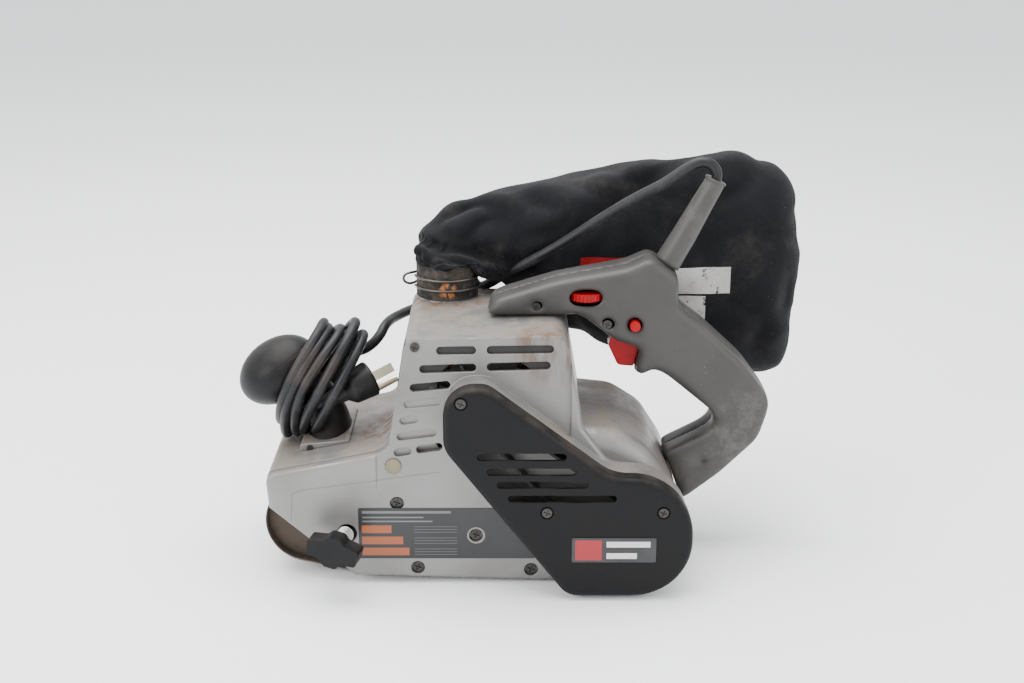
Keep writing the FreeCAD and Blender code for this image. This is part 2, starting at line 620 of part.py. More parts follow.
def tension():
    """Slide bar in the beam, its springs, and the lever that pulls the front drum back."""
    bar = extruded("slide_bar", "XZ_Plane", -13.6, 27.2,
                   [(-70, 27.3, 1), (-70, 44.7, 1), (-28, 44.7, 0), (-28, 27.3, 0)])
    pin = sketch_on(bar, "XY_Plane", 20)
    circle(pin, -65.5, 0, 2.55)
    pocket(bar, pin, 32, True)
    spots = [Vector(-26.5 + 3.1 * turn, 0, 36) for turn in range(5)]
    group("tension_spring", [Part.makeTorus(6.5, 0.9, spot, Vector(1, 0, 0)) for spot in spots])
    lever = body_named("tension_lever")
    arm = sketch_on(lever, "XY_Plane", 25)
    draw(arm, [(-2.6, -4.6, 3), (6.6, -4.6, 4.5), (6.6, 4.6, 4), (-20, 6, 3), (-54, 6.8, 2.8), (-54, 1, 2.8),
               (-14, -1, 3)])
    pad(lever, arm, 12)
    hole = sketch_on(lever, "XY_Plane", 24)
    circle(hole, 2, 0, 2.55)
    pocket(lever, hole, 14, True)
    place(lever, 0, 47, 0)
    turned("lever_pin", [(2.5, 0, 18)], 2, 47, 22, UPRIGHT)


def tracking():
    """Belt tracking screw with its spring and winged knob, on the near side."""
    lean = Rotation(Vector(0, 0, 1), Vector(0.2, 0.98, 0))
    place_at = ("Sizes.tracking_x", "-Sizes.plate_outer", "Sizes.tracking_height")
    turned("tracking_screw", [(3, -28, 41.8)], *place_at, lean)
    spring = group("tracking_spring", [
        Part.makeTorus(4.9, 0.7, Vector(0, 0, -1.2 - 2.5 * turn), Vector(0, 0, 1)) for turn in range(6)])
    place(spring, *place_at, lean)
    knob = body_named("tracking_knob")
    wings = sketch_on(knob, "XY_Plane", -31)
    draw(wings, [(-17.5, -5, 2), (-16.5, 5, 2), (-7, 6.5, 3), (-4, 10.5, 3.5), (4, 10.5, 3.5), (7, 6.5, 3),
                 (16.5, 5.5, 2), (17.5, -5, 2), (7, -7, 3), (4, -10.5, 3.5), (-4, -10.5, 3.5), (-7, -7, 3)])
    pad(knob, wings, 12)
    neck = sketch_on(knob, "XY_Plane", -20)
    circle(neck, 0, 0, 6.5)
    pad(knob, neck, 3)
    bore = sketch_on(knob, "XY_Plane", -28)
    circle(bore, 0, 0, 3.02)
    pocket(knob, bore, 14, True)
    place(knob, *place_at, lean)


def belts():
    """Sanding belt round the drums and toothed belt round the pulleys."""
    rim = value("Sizes.drum_radius")
    toe = value("Sizes.toe_radius")
    toe_z = toe + value("Sizes.belt_gauge")
    wheels = [(FRONT_X, FRONT_Z, rim), (REAR_X, REAR_Z, rim), (value("Sizes.toe_x"), toe_z, toe)]
    band("sanding_belt", wheels, "Sizes.belt_gauge", "Sizes.belt_width / 2", "Sizes.belt_width")
    print("sanding belt loop", sum(edge.toShape().Length for edge in band_edges(wheels, 0.5)))
    pulleys = []
    for x, z, teeth in ((MOTOR_X, MOTOR_Z, "Sizes.motor_teeth"), (REAR_X, REAR_Z, "Sizes.drum_teeth")):
        pulleys.append((x, z, value("Sizes.tooth_pitch * %s / (2 * pi)" % teeth) - 0.3))
    band("drive_belt", pulleys, "Sizes.timing_gauge", "Sizes.timing_plane + 6", "Sizes.timing_width")


# ---- Rear handle -----------------------------------------------------------------------

HANDLE = [(10.5, 169.6, 0), (15.5, 181, 7.5), (57, 193.8, 30), (104, 202.5, 12), (119.3, 210, 6.5),
          (138.5, 195.5, 6.5), (137.2, 176.5, 9), (155, 163, 30), (183, 137, 30), (203, 110, 17),
          (195, 83, 17), (170, 58, 20), (144.2, 37.5, 0), (133.8, 66, 0), (129.8, 72.6, 0),
          (158, 87.3, 8), (168.5, 96.8, 8), (158, 106.2, 10), (131.4, 128.3, 9), (122, 133.4, 4),
          (113.8, 126.2, 3.5), (109.6, 131.8, 0), (114, 147.5, 4), (97, 152, 7), (72, 171.5, 7),
          (62.5, 170.2, 0)]


def handle_half(label, near):
    """One moulded half of the D handle, hollow round the switch."""
    body = body_named(label)
    sketch = sketch_on(body, "XZ_Plane")
    draw(sketch, HANDLE)
    pad(body, sketch, "Sizes.handle_half", not near)
    half = value("Sizes.handle_half")
    round_edges(body, 3.2, lies_at_y(-half if near else half))
    hollow = sketch_on(body, "XZ_Plane")
    draw(hollow, [(30, 175, 3), (60, 187, 3), (112, 197.5, 3), (129, 187, 4), (128, 160, 4), (112, 155, 4),
                  (94, 160, 4), (78, 174, 4)])
    pocket(body, hollow, "Sizes.handle_half - 3.5", near)
    slide = sketch_on(body, "XZ_Plane")
    draw(slide, [(90, 162, 0), (90, 140, 0), (104, 131.7, 0), (119, 131.7, 0), (122, 158, 0)])
    pocket(body, slide, "Sizes.trigger_half + 0.4", near)
    if near:
        openings = sketch_on(body, "XZ_Plane", "Sizes.handle_half + 1")
        circle(openings, 109.2, 164.4, 3.9)
        draw(openings, [(67, 179.4, 1), (86.5, 179.4, 1), (86.5, 186.6, 1), (67, 186.6, 1)])
        pocket(body, openings, 8)
        heads = sketch_on(body, "XZ_Plane", "Sizes.handle_half + 1")
        for x, z in HANDLE_SCREWS:
            circle(heads, x, z, 3.6)
        pocket(body, heads, 5)
        shanks = sketch_on(body, "XZ_Plane", "Sizes.handle_half + 1")
        for x, z in HANDLE_SCREWS:
            circle(shanks, x, z, 1.7)
        pocket(body, shanks, 30)


HANDLE_SCREWS = [(156.4, 67.2), (44, 176.5), (91, 164.5)]


def handle_parts():
    """Switch, trigger, lock-on button, speed dial and the cord's strain relief."""
    extruded("trigger", "XZ_Plane", "-Sizes.trigger_half", "2 * Sizes.trigger_half",
             [(92.5, 147, 3), (99, 133, 4), (109.6, 132.2, 1.5), (113.3, 147.4, 0), (117, 152.5, 0),
              (113, 161, 2), (96, 158.5, 3)])
    spots = [Vector(105 + 1.2 * turn, 0, 163.2 + 1.1 * turn) for turn in range(4)]
    group("trigger_spring", [Part.makeTorus(2.6, 0.5, spot, Vector(0.74, 0, 0.68)) for spot in spots])
    extruded("switch_body", "XZ_Plane", -12, 24,
             [(112, 171, 1), (126, 171, 1), (124, 189, 1), (108, 189, 1)])
    turned("lock_button", [(3.5, 0, 11)], 109.2, -21.6, 164.4)
    dial = turned("speed_dial", [(10.8, 0, 5)], 77, -9.6, 180.5, UPRIGHT)
    notch = sketch_on(dial, "XY_Plane", -1)
    circle(notch, 11.3, 0, 1.0)
    cut = pocket(dial, notch, 7, True)
    pattern = dial.newObject("PartDesign::PolarPattern", "dial_grip")
    pattern.Originals = [cut]
    pattern.Axis = (notch, ["N_Axis"])
    pattern.Angle = 360
    pattern.Occurrences = 24
    dial.Tip = pattern
    screws = [screw(x, -value("Sizes.handle_half") + 4, z, (0, -1, 0), 3, 24) for x, z in HANDLE_SCREWS]
    group("handle_screws", screws)


def loft(stations):
    """A solid through round or oval sections: (centre, normal, along X, across)."""
    wires = []
    for centre, normal, wide, deep in stations:
        facing = Rotation(Vector(0, 0, 1), Vector(*normal))
        if wide == deep:
            oval = Part.Circle(Vector(0, 0, 0), Vector(0, 0, 1), wide)
        else:
            oval = Part.Ellipse(Vector(0, 0, 0), max(wide, deep), min(wide, deep))
        wire = Part.Wire(oval.toShape())
        if deep > wide:
            wire.rotate(Vector(0, 0, 0), Vector(0, 0, 1), 90)
        wire.Placement = Placement(Vector(*centre), facing).multiply(wire.Placement)
        wires.append(wire)
    return Part.makeLoft(wires, True, False)


def strain_relief():
    """Tapered rubber sleeve where the cord leaves the handle."""
    feature = doc.addObject("Part::Feature", "strain_relief")
    feature.Shape = loft([
        ((131.2, 0, 203), (0.52, 0, 0.85), 8.8, 8.8), ((141.5, 0, 221), (0.48, 0, 0.88), 8.2, 8.2),
        ((151.5, 0, 240), (0.46, 0, 0.89), 7.5, 7.5), ((160.4, 0, 256), (0.40, 0, 0.92), 6.8, 6.8)])
    piece(feature, "strain_relief")


# ---- Cord ------------------------------------------------------------------------------

CORD_ROUTE = [(159.4, 0, 253.6), (162.2, 0.2, 259.7), (160.7, 0.6, 265.7), (155.8, 1.3, 269.6),
              (149.6, 2.4, 269.6), (140.8, 4, 264.4), (128, 7.2, 254), (110.5, 13.2, 243.8), (87.3, 22.2, 227),
              (61.5, 31.5, 206.8), (38, 38.5, 191.5), (23, 47, 181.5), (9, 60, 169), (-12, 78.5, 158),
              (-38, 74, 150.5), (-55, 53, 148.5), (-60, 34, 149), (-63, 24, 143.5), (-71.5, 21, 135.5),
              (-82, 24.6, 131.5)]


def cord_path(route):
    """Straight runs joined by arcs, each as large as its two runs allow."""
    spots = [Vector(*spot) for spot in route]
    edges = []
    start = spots[0]
    for before, here, after in zip(spots, spots[1:], spots[2:]):
        back = (before - here).normalize()
        ahead = (after - here).normalize()
        turn = math.pi - back.getAngle(ahead)
        reach = 0.45 * min((before - here).Length, (after - here).Length)
        radius = reach / math.tan(turn / 2)
        print("cord turn %.0f degrees, radius %.1f" % (math.degrees(turn), radius))
        bow = (back + ahead).normalize() * (radius / math.cos(turn / 2) - radius)
        edges.append(Part.LineSegment(start, here + back * reach).toShape())
        edges.append(Part.Arc(here + back * reach, here + bow, here + ahead * reach).toShape())
        start = here + ahead * reach
    edges.append(Part.LineSegment(start, spots[-1]).toShape())
    return Part.Wire(edges)


def power_cord():
    """Loose cord from the strain relief, behind the chute, to the winding on the front knob."""
    path = cord_path(CORD_ROUTE)
    radius = value("Sizes.cord_gauge") / 2
    first = path.Edges[0]
    at_start = first.FirstParameter
    rim = Part.Circle(first.valueAt(at_start), first.tangentAt(at_start), radius)
    tube = path.makePipeShell([Part.Wire(rim.toShape())], True, True)
    whole = math.pi * radius ** 2 * path.Length
    print("cord run %.0f mm, tube %.0f, section by length %.0f" % (path.Length, tube.Volume, whole))
    feature = doc.addObject("Part::Feature", "power_cord")
    feature.Shape = tube
    piece(feature, "power_cord")


def winding():
    """Closed solid of the turns that hang round the front knob's neck."""
    body = body_named("cord_winding")
    sketch = sketch_on(body, "XY_Plane", "-Sizes.winding_width / 2")
    long = value("Sizes.winding_long")
    short = value("Sizes.winding_short")
    for inset in (0, 9):
        sketch.addGeometry(Part.Ellipse(Vector(0, 0, 0), long - inset, short - inset), False)
    pad(body, sketch, "Sizes.winding_width")
    lean = Rotation(Vector(0, 1, 0), -90 + value("Sizes.winding_lean"))
    place(body, "Sizes.winding_x", -2, "Sizes.winding_height", lean)


def plug():
    """Moulded plug on the cord's end, with two blades and an earth pin."""
    lean = Rotation(Vector(0, 0, 1), Vector(0.854, 0.38, 0.36))
    at = ("Sizes.plug_x", "Sizes.plug_y", "Sizes.plug_height")
    outline = [(0, 0, 0), (4.4, 0, 0), (6.4, 17, 0), (11, 22, 4), (12.5, 38, 2), (0, 38, 0)]
    revolved("plug_body", outline, *at, lean)
    blades = [Part.makeBox(6.4, 1.6, 14.6, Vector(-3.2, side * 6.35 - 0.8, 38)) for side in (-1, 1)]
    pin = Part.makeCylinder(2.4, 15, Vector(8, 0, 38))
    place(group("plug_blades", blades + [pin]), *at, lean)


# ---- Front knob ------------------------------------------------------------------------

def front_knob():
    """Two-piece knob on a flared neck, carried by a cast bracket on the nose."""
    lean = Rotation(Vector(0, 1, 0), -33)
    head = Placement(Vector(-129.5, -3, 128.5), lean)
    egg = Part.makeSphere(1)
    scale = FreeCAD.Matrix()
    scale.scale(28.5, 27, 21)
    egg = egg.transformGeometry(scale)
    upper = Part.makeBox(80, 80, 40, Vector(-40, -40, 6))
    lower = Part.makeBox(80, 80, 40, Vector(-40, -40, -34))
    cap = egg.common(upper)
    shell = egg.common(lower)
    cap.Placement = head
    shell.Placement = head
    feature = doc.addObject("Part::Feature", "front_knob_cap")
    feature.Shape = cap
    piece(feature, "front_knob_cap")
    neck = loft([((-96, -3, 88.2), (-0.0968, 0, 1), 14.5, 26), ((-96, -3, 93), (-0.05, 0, 1), 13.5, 20),
                 ((-96.5, -3, 101), (-0.2, 0, 1), 11.5, 13), ((-103, -3, 113), (-0.7, 0, 0.8), 10.5, 11.5),
                 ((-116, -3, 121), (-0.75, 0, 0.6), 13, 13)])
    feature = doc.addObject("Part::Feature", "front_knob_body")
    feature.Shape = shell.fuse(neck)
    piece(feature, "front_knob_body")
    extruded("knob_bracket", "XZ_Plane", -28, 62,
             [(-113, 81.6, 0), (-113, 86.4, 2), (-82, 89.4, 0.6), (-80, 88.3, 0)])


# ---- Dust collection -------------------------------------------------------------------

def dust_parts():
    """Chute pipe, rubber cuff with its wire clip, and the bag as a closed solid."""
    at = ("Sizes.chute_x", "Sizes.chute_y")
    turned("dust_chute", [("Sizes.chute_radius", 0, "Sizes.chute_top - 160")], *at, 160, UPRIGHT, 15.5)
    sleeve = [("Sizes.cuff_radius", 0, "Sizes.cuff_height")]
    turned("bag_cuff", sleeve, *at, "Sizes.cuff_base + 0.1", UPRIGHT, "Sizes.chute_radius + 0.3")
    x = value("Sizes.chute_x")
    y = value("Sizes.chute_y")
    hoop = value("Sizes.cuff_radius") + 0.95
    rings = []
    for height in (176.5, 183.5):
        rings.append(Part.makeTorus(hoop, 0.9, Vector(x, y, height), Vector(0, 0, 1)))
        rings.append(Part.makeCylinder(0.9, 8, Vector(x - hoop, y, height), Vector(-1, 0, 0)))
    bend = Part.makeTorus(3.5, 0.9, Vector(x - hoop - 8, y, 180), Vector(0, 1, 0), -180, 180, 180)
    bend.rotate(Vector(x - hoop - 8, y, 180), Vector(0, 1, 0), -90)
    wire = rings[0].multiFuse(rings[1:] + [bend])
    feature = doc.addObject("Part::Feature", "bag_clip")
    feature.Shape = wire
    piece(feature, "bag_clip")
    bag = body_named("dust_bag")
    side = sketch_on(bag, "XZ_Plane", "-Sizes.bag_near - Sizes.bag_depth")
    draw(side, [(-40, 205, 6), (-30, 222, 16), (20, 243, 30), (150, 264, 30), (186, 268.5, 22),
                (222, 247, 20), (231, 205, 40), (223, 160, 30), (226, 120, 14), (218, 106.5, 10),
                (150, 108, 25), (90, 150, 25), (46, 191, 12), (0, 198, 12)])
    pad(bag, side, "Sizes.bag_depth")
    near = value("Sizes.bag_near")
    doc.recompute()
    far = near + value("Sizes.bag_depth")
    round_edges(bag, 9, lambda edge: lies_at_y(near)(edge) or lies_at_y(far)(edge))
    throat = sketch_on(bag, "XZ_Plane", -72)
    draw(throat, [(-39, 204, 5), (-29, 221, 12), (20, 240, 12), (38, 243, 4), (38, 208, 4), (6, 204, 5)])
    pad(bag, throat, 50)
    neck = sketch_on(bag, "XY_Plane", "Sizes.cuff_base + Sizes.cuff_height + 0.2")
    circle(neck, *at, 20.6)
    pad(bag, neck, 25)


# ---- Fasteners and trim ----------------------------------------------------------------

def trim():
    """Screws, the inspection plug, the rating plate and the cover badge."""
    plate_y = -value("Sizes.plate_outer")
    head = value("Sizes.screw_radius")
    screws = [screw(x, plate_y + 3.4, z, (0, -1, 0), head, 8) for x, z in SIDE_SCREWS[:4]]
    screws.append(screw(SIDE_SCREWS[4][0], -59.6, SIDE_SCREWS[4][1], (0, -1, 0), 3, 6))
    far = value("Sizes.far_side") + 18
    for angle in (35, 145, 215, 325):
        x = MOTOR_X + 36 * math.cos(math.radians(angle))
        z = MOTOR_Z + 36 * math.sin(math.radians(angle))
        screws.append(screw(x, far, z, (0, 1, 0), 3, 2.9))
    screws.append(screw(-106.5, -34, 84, (0, -1, 0), 2.2, 6))
    group("casing_screws", screws)
    heads = []
    for x, z in COVER_SCREWS:
        heads.append(screw(x, 1.4 - value("Sizes.cover_face"), z, (0, -1, 0), 3.2, 2.4))
    group("cover_screws", heads)
    turned("inspection_plug", [(5, 0, 3.4)], -48.9, "-Sizes.plate_outer - 0.1", 83.4)
    plate = extruded("rating_plate", "XZ_Plane", "Sizes.plate_outer + 0.01", 0.4,
                     [(-72.5, 18.3, 1), (-72.5, 54.2, 1), (17, 54.2, 1), (44, 18.3, 1)])
    hole = sketch_on(plate, "XZ_Plane", "Sizes.plate_outer + 1")
    circle(hole, 4.4, 34.6, 6)
    pocket(plate, hole, 3)
    extruded("cover_badge", "XZ_Plane", "Sizes.cover_face + 0.01", 0.4,
             [(66.3, 28, 0.8), (120.3, 28, 0.8), (120.3, 45, 0.8), (66.3, 45, 0.8)])


main_housing()
side_cover()
belt_cover()
motor_end_cap()
platen()
motor()
bearings()
rear_drum()
front_drum()
front_fork()
tension()
tracking()
belts()
handle_half("handle_left", True)
handle_half("handle_right", False)
handle_parts()
strain_relief()
power_cord()
winding()
plug()
front_knob()
dust_parts()
trim()

doc.recompute()
problems = []
for thing in doc.Objects:
    if "Invalid" in thing.State or "Error" in thing.State:
        problems.append("%s is %s" % (thing.Name, thing.State))
    elif thing.isDerivedFrom("PartDesign::Pocket") and not thing.BaseFeature.Shape.isNull():
        if thing.Shape.Volume > thing.BaseFeature.Shape.Volume - 0.01:
            problems.append("%s cuts nothing" % thing.Name)
for item in parts:
    if item.Shape.isNull() or not item.Shape.isValid():
        problems.append("%s has no valid shape" % item.Label)
if problems:
    raise SystemExit("\n".join(problems))
os.makedirs("parts", exist_ok=True)
for item in parts:
    item.Shape.exportStep("parts/%s.step" % item.Label)
print(len(parts), "sub-parts written")
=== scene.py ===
"""Handheld belt sander: its looks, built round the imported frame, in metres.

X runs along the tool with the front at -X, the drive-belt case is at -Y, and Z is up.
"""
import math

import bmesh
import bpy
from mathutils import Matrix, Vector, noise


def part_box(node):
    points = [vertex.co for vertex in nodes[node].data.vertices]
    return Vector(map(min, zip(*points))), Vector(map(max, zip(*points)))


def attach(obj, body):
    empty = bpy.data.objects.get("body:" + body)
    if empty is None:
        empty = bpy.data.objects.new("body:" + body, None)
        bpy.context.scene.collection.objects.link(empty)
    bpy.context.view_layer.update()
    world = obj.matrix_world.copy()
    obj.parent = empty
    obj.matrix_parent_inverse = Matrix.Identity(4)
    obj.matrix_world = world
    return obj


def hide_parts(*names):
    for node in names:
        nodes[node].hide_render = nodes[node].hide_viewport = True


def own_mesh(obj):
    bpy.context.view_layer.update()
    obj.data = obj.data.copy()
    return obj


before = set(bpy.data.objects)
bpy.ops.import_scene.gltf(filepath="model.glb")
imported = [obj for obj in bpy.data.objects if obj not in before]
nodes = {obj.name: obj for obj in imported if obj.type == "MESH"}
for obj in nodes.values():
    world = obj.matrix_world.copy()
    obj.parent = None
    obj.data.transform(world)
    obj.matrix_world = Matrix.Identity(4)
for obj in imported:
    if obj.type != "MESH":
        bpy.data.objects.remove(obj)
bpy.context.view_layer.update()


# ---- Stage -----------------------------------------------------------------------------
# A plain pale floor under two large soft lamps, seen from the drive-belt side and a little
# above, with the rear handle to the right.

TILT = math.radians(18)
EYE = Vector((0.028, -1.0021, 0.473))
LENS = 54.98

camera = bpy.data.objects.new("camera", bpy.data.cameras.new("camera"))
camera.location = EYE
camera.rotation_euler = (math.pi / 2 - TILT, 0, 0)
camera.data.lens = LENS
camera.data.clip_end = 40
bpy.context.scene.collection.objects.link(camera)
bpy.context.scene.camera = camera


def lamp(name, place, aim, size, power):
    """One square soft lamp that looks at a point."""
    data = bpy.data.lights.new(name, "AREA")
    data.size = size
    data.energy = power
    made = bpy.data.objects.new(name, data)
    made.location = place
    made.rotation_euler = (Vector(aim) - Vector(place)).to_track_quat("-Z", "Y").to_euler()
    bpy.context.scene.collection.objects.link(made)


lamp("lamp_over", (-0.2, 0.15, 1.5), (0, 0, 0.1), 1.5, 50)
lamp("lamp_left", (-1.3, -1.1, 0.9), (0, 0, 0.1), 0.9, 22)
lamp("lamp_right", (1.2, -0.9, 0.7), (0, 0, 0.15), 0.9, 8)

world = bpy.data.worlds.new("studio")
world.use_nodes = True
world.node_tree.nodes["Background"].inputs["Color"].default_value = (0.96, 0.98, 1, 1)
world.node_tree.nodes["Background"].inputs["Strength"].default_value = 1.5
bpy.context.scene.world = world


class Wire:
    """One value in a shader; arithmetic on it adds Math nodes."""

    def __init__(self, finish, socket):
        self.finish = finish
        self.socket = socket

    def math(self, operation, *values):
        return self.finish.node("ShaderNodeMath", {"operation": operation}, dict(enumerate(values)))

    def __add__(self, other):
        return self.math("ADD", self, other)

    def __sub__(self, other):
        return self.math("SUBTRACT", self, other)

    def __rsub__(self, other):
        return self.math("SUBTRACT", other, self)

    def __mul__(self, other):
        return self.math("MULTIPLY", self, other)

    def __gt__(self, other):
        return self.math("GREATER_THAN", self, other)

    def __lt__(self, other):
        return self.math("LESS_THAN", self, other)

    __radd__ = __add__
    __rmul__ = __mul__

    def sine(self):
        return self.math("SINE", self)

    def clamp(self):
        return self.finish.node("ShaderNodeClamp", {}, {"Value": self})

    def steps(self, low, high):
        """Smoothly 0 below low and 1 above high, or the other way round."""
        sockets = {"Value": self, "From Min": low, "From Max": high}
        return self.finish.node("ShaderNodeMapRange", {"interpolation_type": "SMOOTHSTEP"}, sockets)


class Finish:
    """A procedural material: one shader fed by nodes on object coordinates or a UV map."""

    def __init__(self, name, **fixed):
        self.material = bpy.data.materials.new(name)
        self.material.use_nodes = True
        self.tree = self.material.node_tree
        self.shader = self.tree.nodes["Principled BSDF"]
        for socket, number in fixed.items():
            self.shader.inputs[socket.replace("_", " ")].default_value = number
        self.place = self.node("ShaderNodeTexCoord", output="Object")

    def node(self, kind, settings=(), sockets=(), output=0):
        """Add one node: its settings first, then the value or link of each socket."""
        made = self.tree.nodes.new(kind)
        for field, setting in dict(settings).items():
            setattr(made, field, setting)
        for key, given in dict(sockets).items():
            if isinstance(given, Wire):
                self.tree.links.new(given.socket, made.inputs[key])
            else:
                made.inputs[key].default_value = given
        return Wire(self, made.outputs[output])

    def noise(self, scale, detail=4, stretch=(1, 1, 1), roughness=0.6):
        at = self.node("ShaderNodeMapping", {}, {"Vector": self.place, "Scale": stretch})
        sockets = {"Vector": at, "Scale": scale, "Detail": detail, "Roughness": roughness}
        return self.node("ShaderNodeTexNoise", {}, sockets)

    def cells(self, scale, at=None):
        sockets = {"Vector": at or self.place, "Scale": scale}
        return self.node("ShaderNodeTexVoronoi", {}, sockets, "Distance")

    def axis(self, name):
        return self.node("ShaderNodeSeparateXYZ", {}, {"Vector": self.place}, name)

    def facing_up(self):
        normal = self.node("ShaderNodeNewGeometry", output="Normal")
        return self.node("ShaderNodeSeparateXYZ", {}, {"Vector": normal}, "Z")

    def near(self, point, inner, outer):
        """1 within inner metres of a point, falling to 0 at outer."""
        sockets = {0: self.place, 1: point}
        gap = self.node("ShaderNodeVectorMath", {"operation": "DISTANCE"}, sockets, "Value")
        return gap.steps(outer, inner)

    def inside(self, x_low, x_high, z_low, z_high):
        """1 inside an upright rectangle."""
        x = self.axis("X")
        z = self.axis("Z")
        return (x > x_low) * (x < x_high) * (z > z_low) * (z < z_high)

    def stroke(self, start, end, width):
        """1 on a thin straight line over an upright face, from start to end, each (x, z)."""
        run = Vector(end) - Vector(start)
        unit = run.normalized()
        x = self.axis("X") - start[0]
        z = self.axis("Z") - start[1]
        along = x * unit[0] + z * unit[1]
        off = x * -unit[1] + z * unit[0]
        return (along > 0) * (along < run.length) * (off < width) * (off > -width)

    def rounded(self, radius):
        """The normal as if every sharp edge had a small round."""
        return self.node("ShaderNodeBevel", {"samples": 4}, {"Radius": radius}, "Normal")

    def edges(self, radius):
        """About 1 on a sharp edge and 0 on the flat."""
        normal = self.node("ShaderNodeNewGeometry", output="Normal")
        sockets = {0: self.rounded(radius), 1: normal}
        dot = self.node("ShaderNodeVectorMath", {"operation": "DOT_PRODUCT"}, sockets, "Value")
        return dot.steps(0.96, 0.75)

    def mix(self, factor, first, second):
        pair = [tone if isinstance(tone, Wire) else (*tone, 1) for tone in (first, second)]
        sockets = {0: factor, 6: pair[0], 7: pair[1]}
        return self.node("ShaderNodeMix", {"data_type": "RGBA"}, sockets, 2)

    def bump(self, height, distance, strength=1.0, normal=None):
        sockets = {"Height": height, "Distance": distance, "Strength": strength}
        if normal:
            sockets["Normal"] = normal
        return self.node("ShaderNodeBump", {}, sockets)

    def feed(self, colour, roughness, normal=None, metallic=None):
        """Link what varies over the surface to the shader."""
        wires = {"Base Color": colour, "Roughness": roughness, "Normal": normal, "Metallic": metallic}
        for socket, wire in wires.items():
            if isinstance(wire, Wire):
                self.tree.links.new(wire.socket, self.shader.inputs[socket])
            elif wire is not None:
                self.shader.inputs[socket].default_value = wire
        return self.material


def paint(material, *names):
    """Give CAD nodes a finish."""
    for name in names:
        for slot in nodes[name].material_slots:
            slot.material = material


def floor_finish():
    coat = Finish("studio_floor", Specular_IOR_Level=0.3)
    return coat.feed(coat.mix(coat.noise(3, 2), (0.93, 0.935, 0.945), (0.95, 0.955, 0.96)), 0.6)


def mesh_object(name, build, material, smooth=True):
    """A new object from a bmesh."""
    mesh = bpy.data.meshes.new(name)
    build.to_mesh(mesh)
    build.free()
    mesh.materials.append(material)
    for face in mesh.polygons:
        face.use_smooth = smooth
    made = bpy.data.objects.new(name, mesh)
    bpy.context.scene.collection.objects.link(made)
    return made


build = bmesh.new()
bmesh.ops.create_grid(build, x_segments=1, y_segments=1, size=9)
floor = mesh_object("floor", build, floor_finish())


# ---- Mains cord ------------------------------------------------------------------------
# Rubber-sheathed lead, 7 mm thick. It leaves the tapered sleeve behind the grip, turns
# back, runs past the dust chute and is wound five times round the neck of the front knob.

CORD_THICK = 0.007
CORD_ROUTE = [
    (0.1594, 0, 0.2536), (0.1622, 0.0002, 0.2597), (0.1607, 0.0006, 0.2657), (0.1558, 0.0013, 0.2696),
    (0.1496, 0.0024, 0.2696), (0.1408, 0.004, 0.2644), (0.128, 0.0072, 0.254), (0.1105, 0.0132, 0.2438),
    (0.0873, 0.0222, 0.227), (0.0615, 0.0315, 0.2068), (0.038, 0.0385, 0.1915), (0.023, 0.047, 0.1815),
    (0.009, 0.06, 0.169), (-0.012, 0.0785, 0.158), (-0.038, 0.074, 0.1505), (-0.055, 0.053, 0.1485),
    (-0.06, 0.034, 0.149), (-0.063, 0.024, 0.1435), (-0.0715, 0.021, 0.1355), (-0.082, 0.0246, 0.1315)]
WINDING_CENTRE = Vector((-0.1036, -0.002, 0.1234))
WINDING_LONG = Vector((0.48, 0, 0.877))
WINDING_AXIS = Vector((-0.877, 0, 0.48))
# Where each quarter turn crosses: its drift along the winding's axis and its reach, in mm,
# in the order far side, under, near side, over.
QUARTERS = [(-9, 26), (-15, 34), (-13.9, 31), (-14.2, 41.1), (-9, 28), (-8.1, 38), (-3.9, 31.5),
            (-5.5, 46.5), (-2, 28), (-6.4, 41.5), (6.6, 31), (0.7, 37.3), (6, 27), (-0.9, 46), (12.5, 30.5),
            (8.5, 33.8), (13, 26), (7, 39), (16.1, 30), (13.5, 36), (9, 22), (6.5, 31)]
CORD_END = [(-0.117, -0.014, 0.1055), (-0.11, -0.0205, 0.108), (-0.104, -0.025, 0.1103),
            (-0.0983, -0.0273, 0.1127), (-0.0957, -0.0261, 0.1138)]
STEPS_PER_QUARTER = 4


def winding_points():
    """Points of the turns, four for each quarter of a turn."""
    points = []
    for index in range(len(QUARTERS) - 1):
        (drift, reach), (next_drift, next_reach) = QUARTERS[index], QUARTERS[index + 1]
        across, along = (reach, next_reach) if index % 2 == 0 else (next_reach, reach)
        for step in range(STEPS_PER_QUARTER):
            share = step / STEPS_PER_QUARTER
            angle = (index + 1 + share) * math.pi / 2
            eased = share * share * (3 - 2 * share)
            point = WINDING_CENTRE + WINDING_AXIS * (drift + (next_drift - drift) * eased) / 1000
            point += WINDING_LONG * math.cos(angle) * along / 1000
            point += Vector((0, math.sin(angle) * across / 1000, 0))
            points.append(point)
    return points[1:]


def rubber_finish(name, dark, light, dirt):
    """Sheath rubber: satin, scuffed lighter, with a brown film in places."""
    coat = Finish(name, Specular_IOR_Level=0.3)
    scuff = coat.noise(55, 5, (1, 1, 1), 0.7).steps(0.48, 0.68)
    film = coat.noise(16, 3).steps(0.52, 0.7) * 0.55
    colour = coat.mix(film, coat.mix(scuff, dark, light), dirt)
    rough = 0.42 + 0.25 * scuff
    return coat.feed(colour, rough, coat.bump(coat.noise(700, 3), 0.0002, 0.35))


cord_rubber = rubber_finish("cord_rubber", (0.0065, 0.0067, 0.008), (0.022, 0.0225, 0.024),
                            (0.05, 0.034, 0.024))


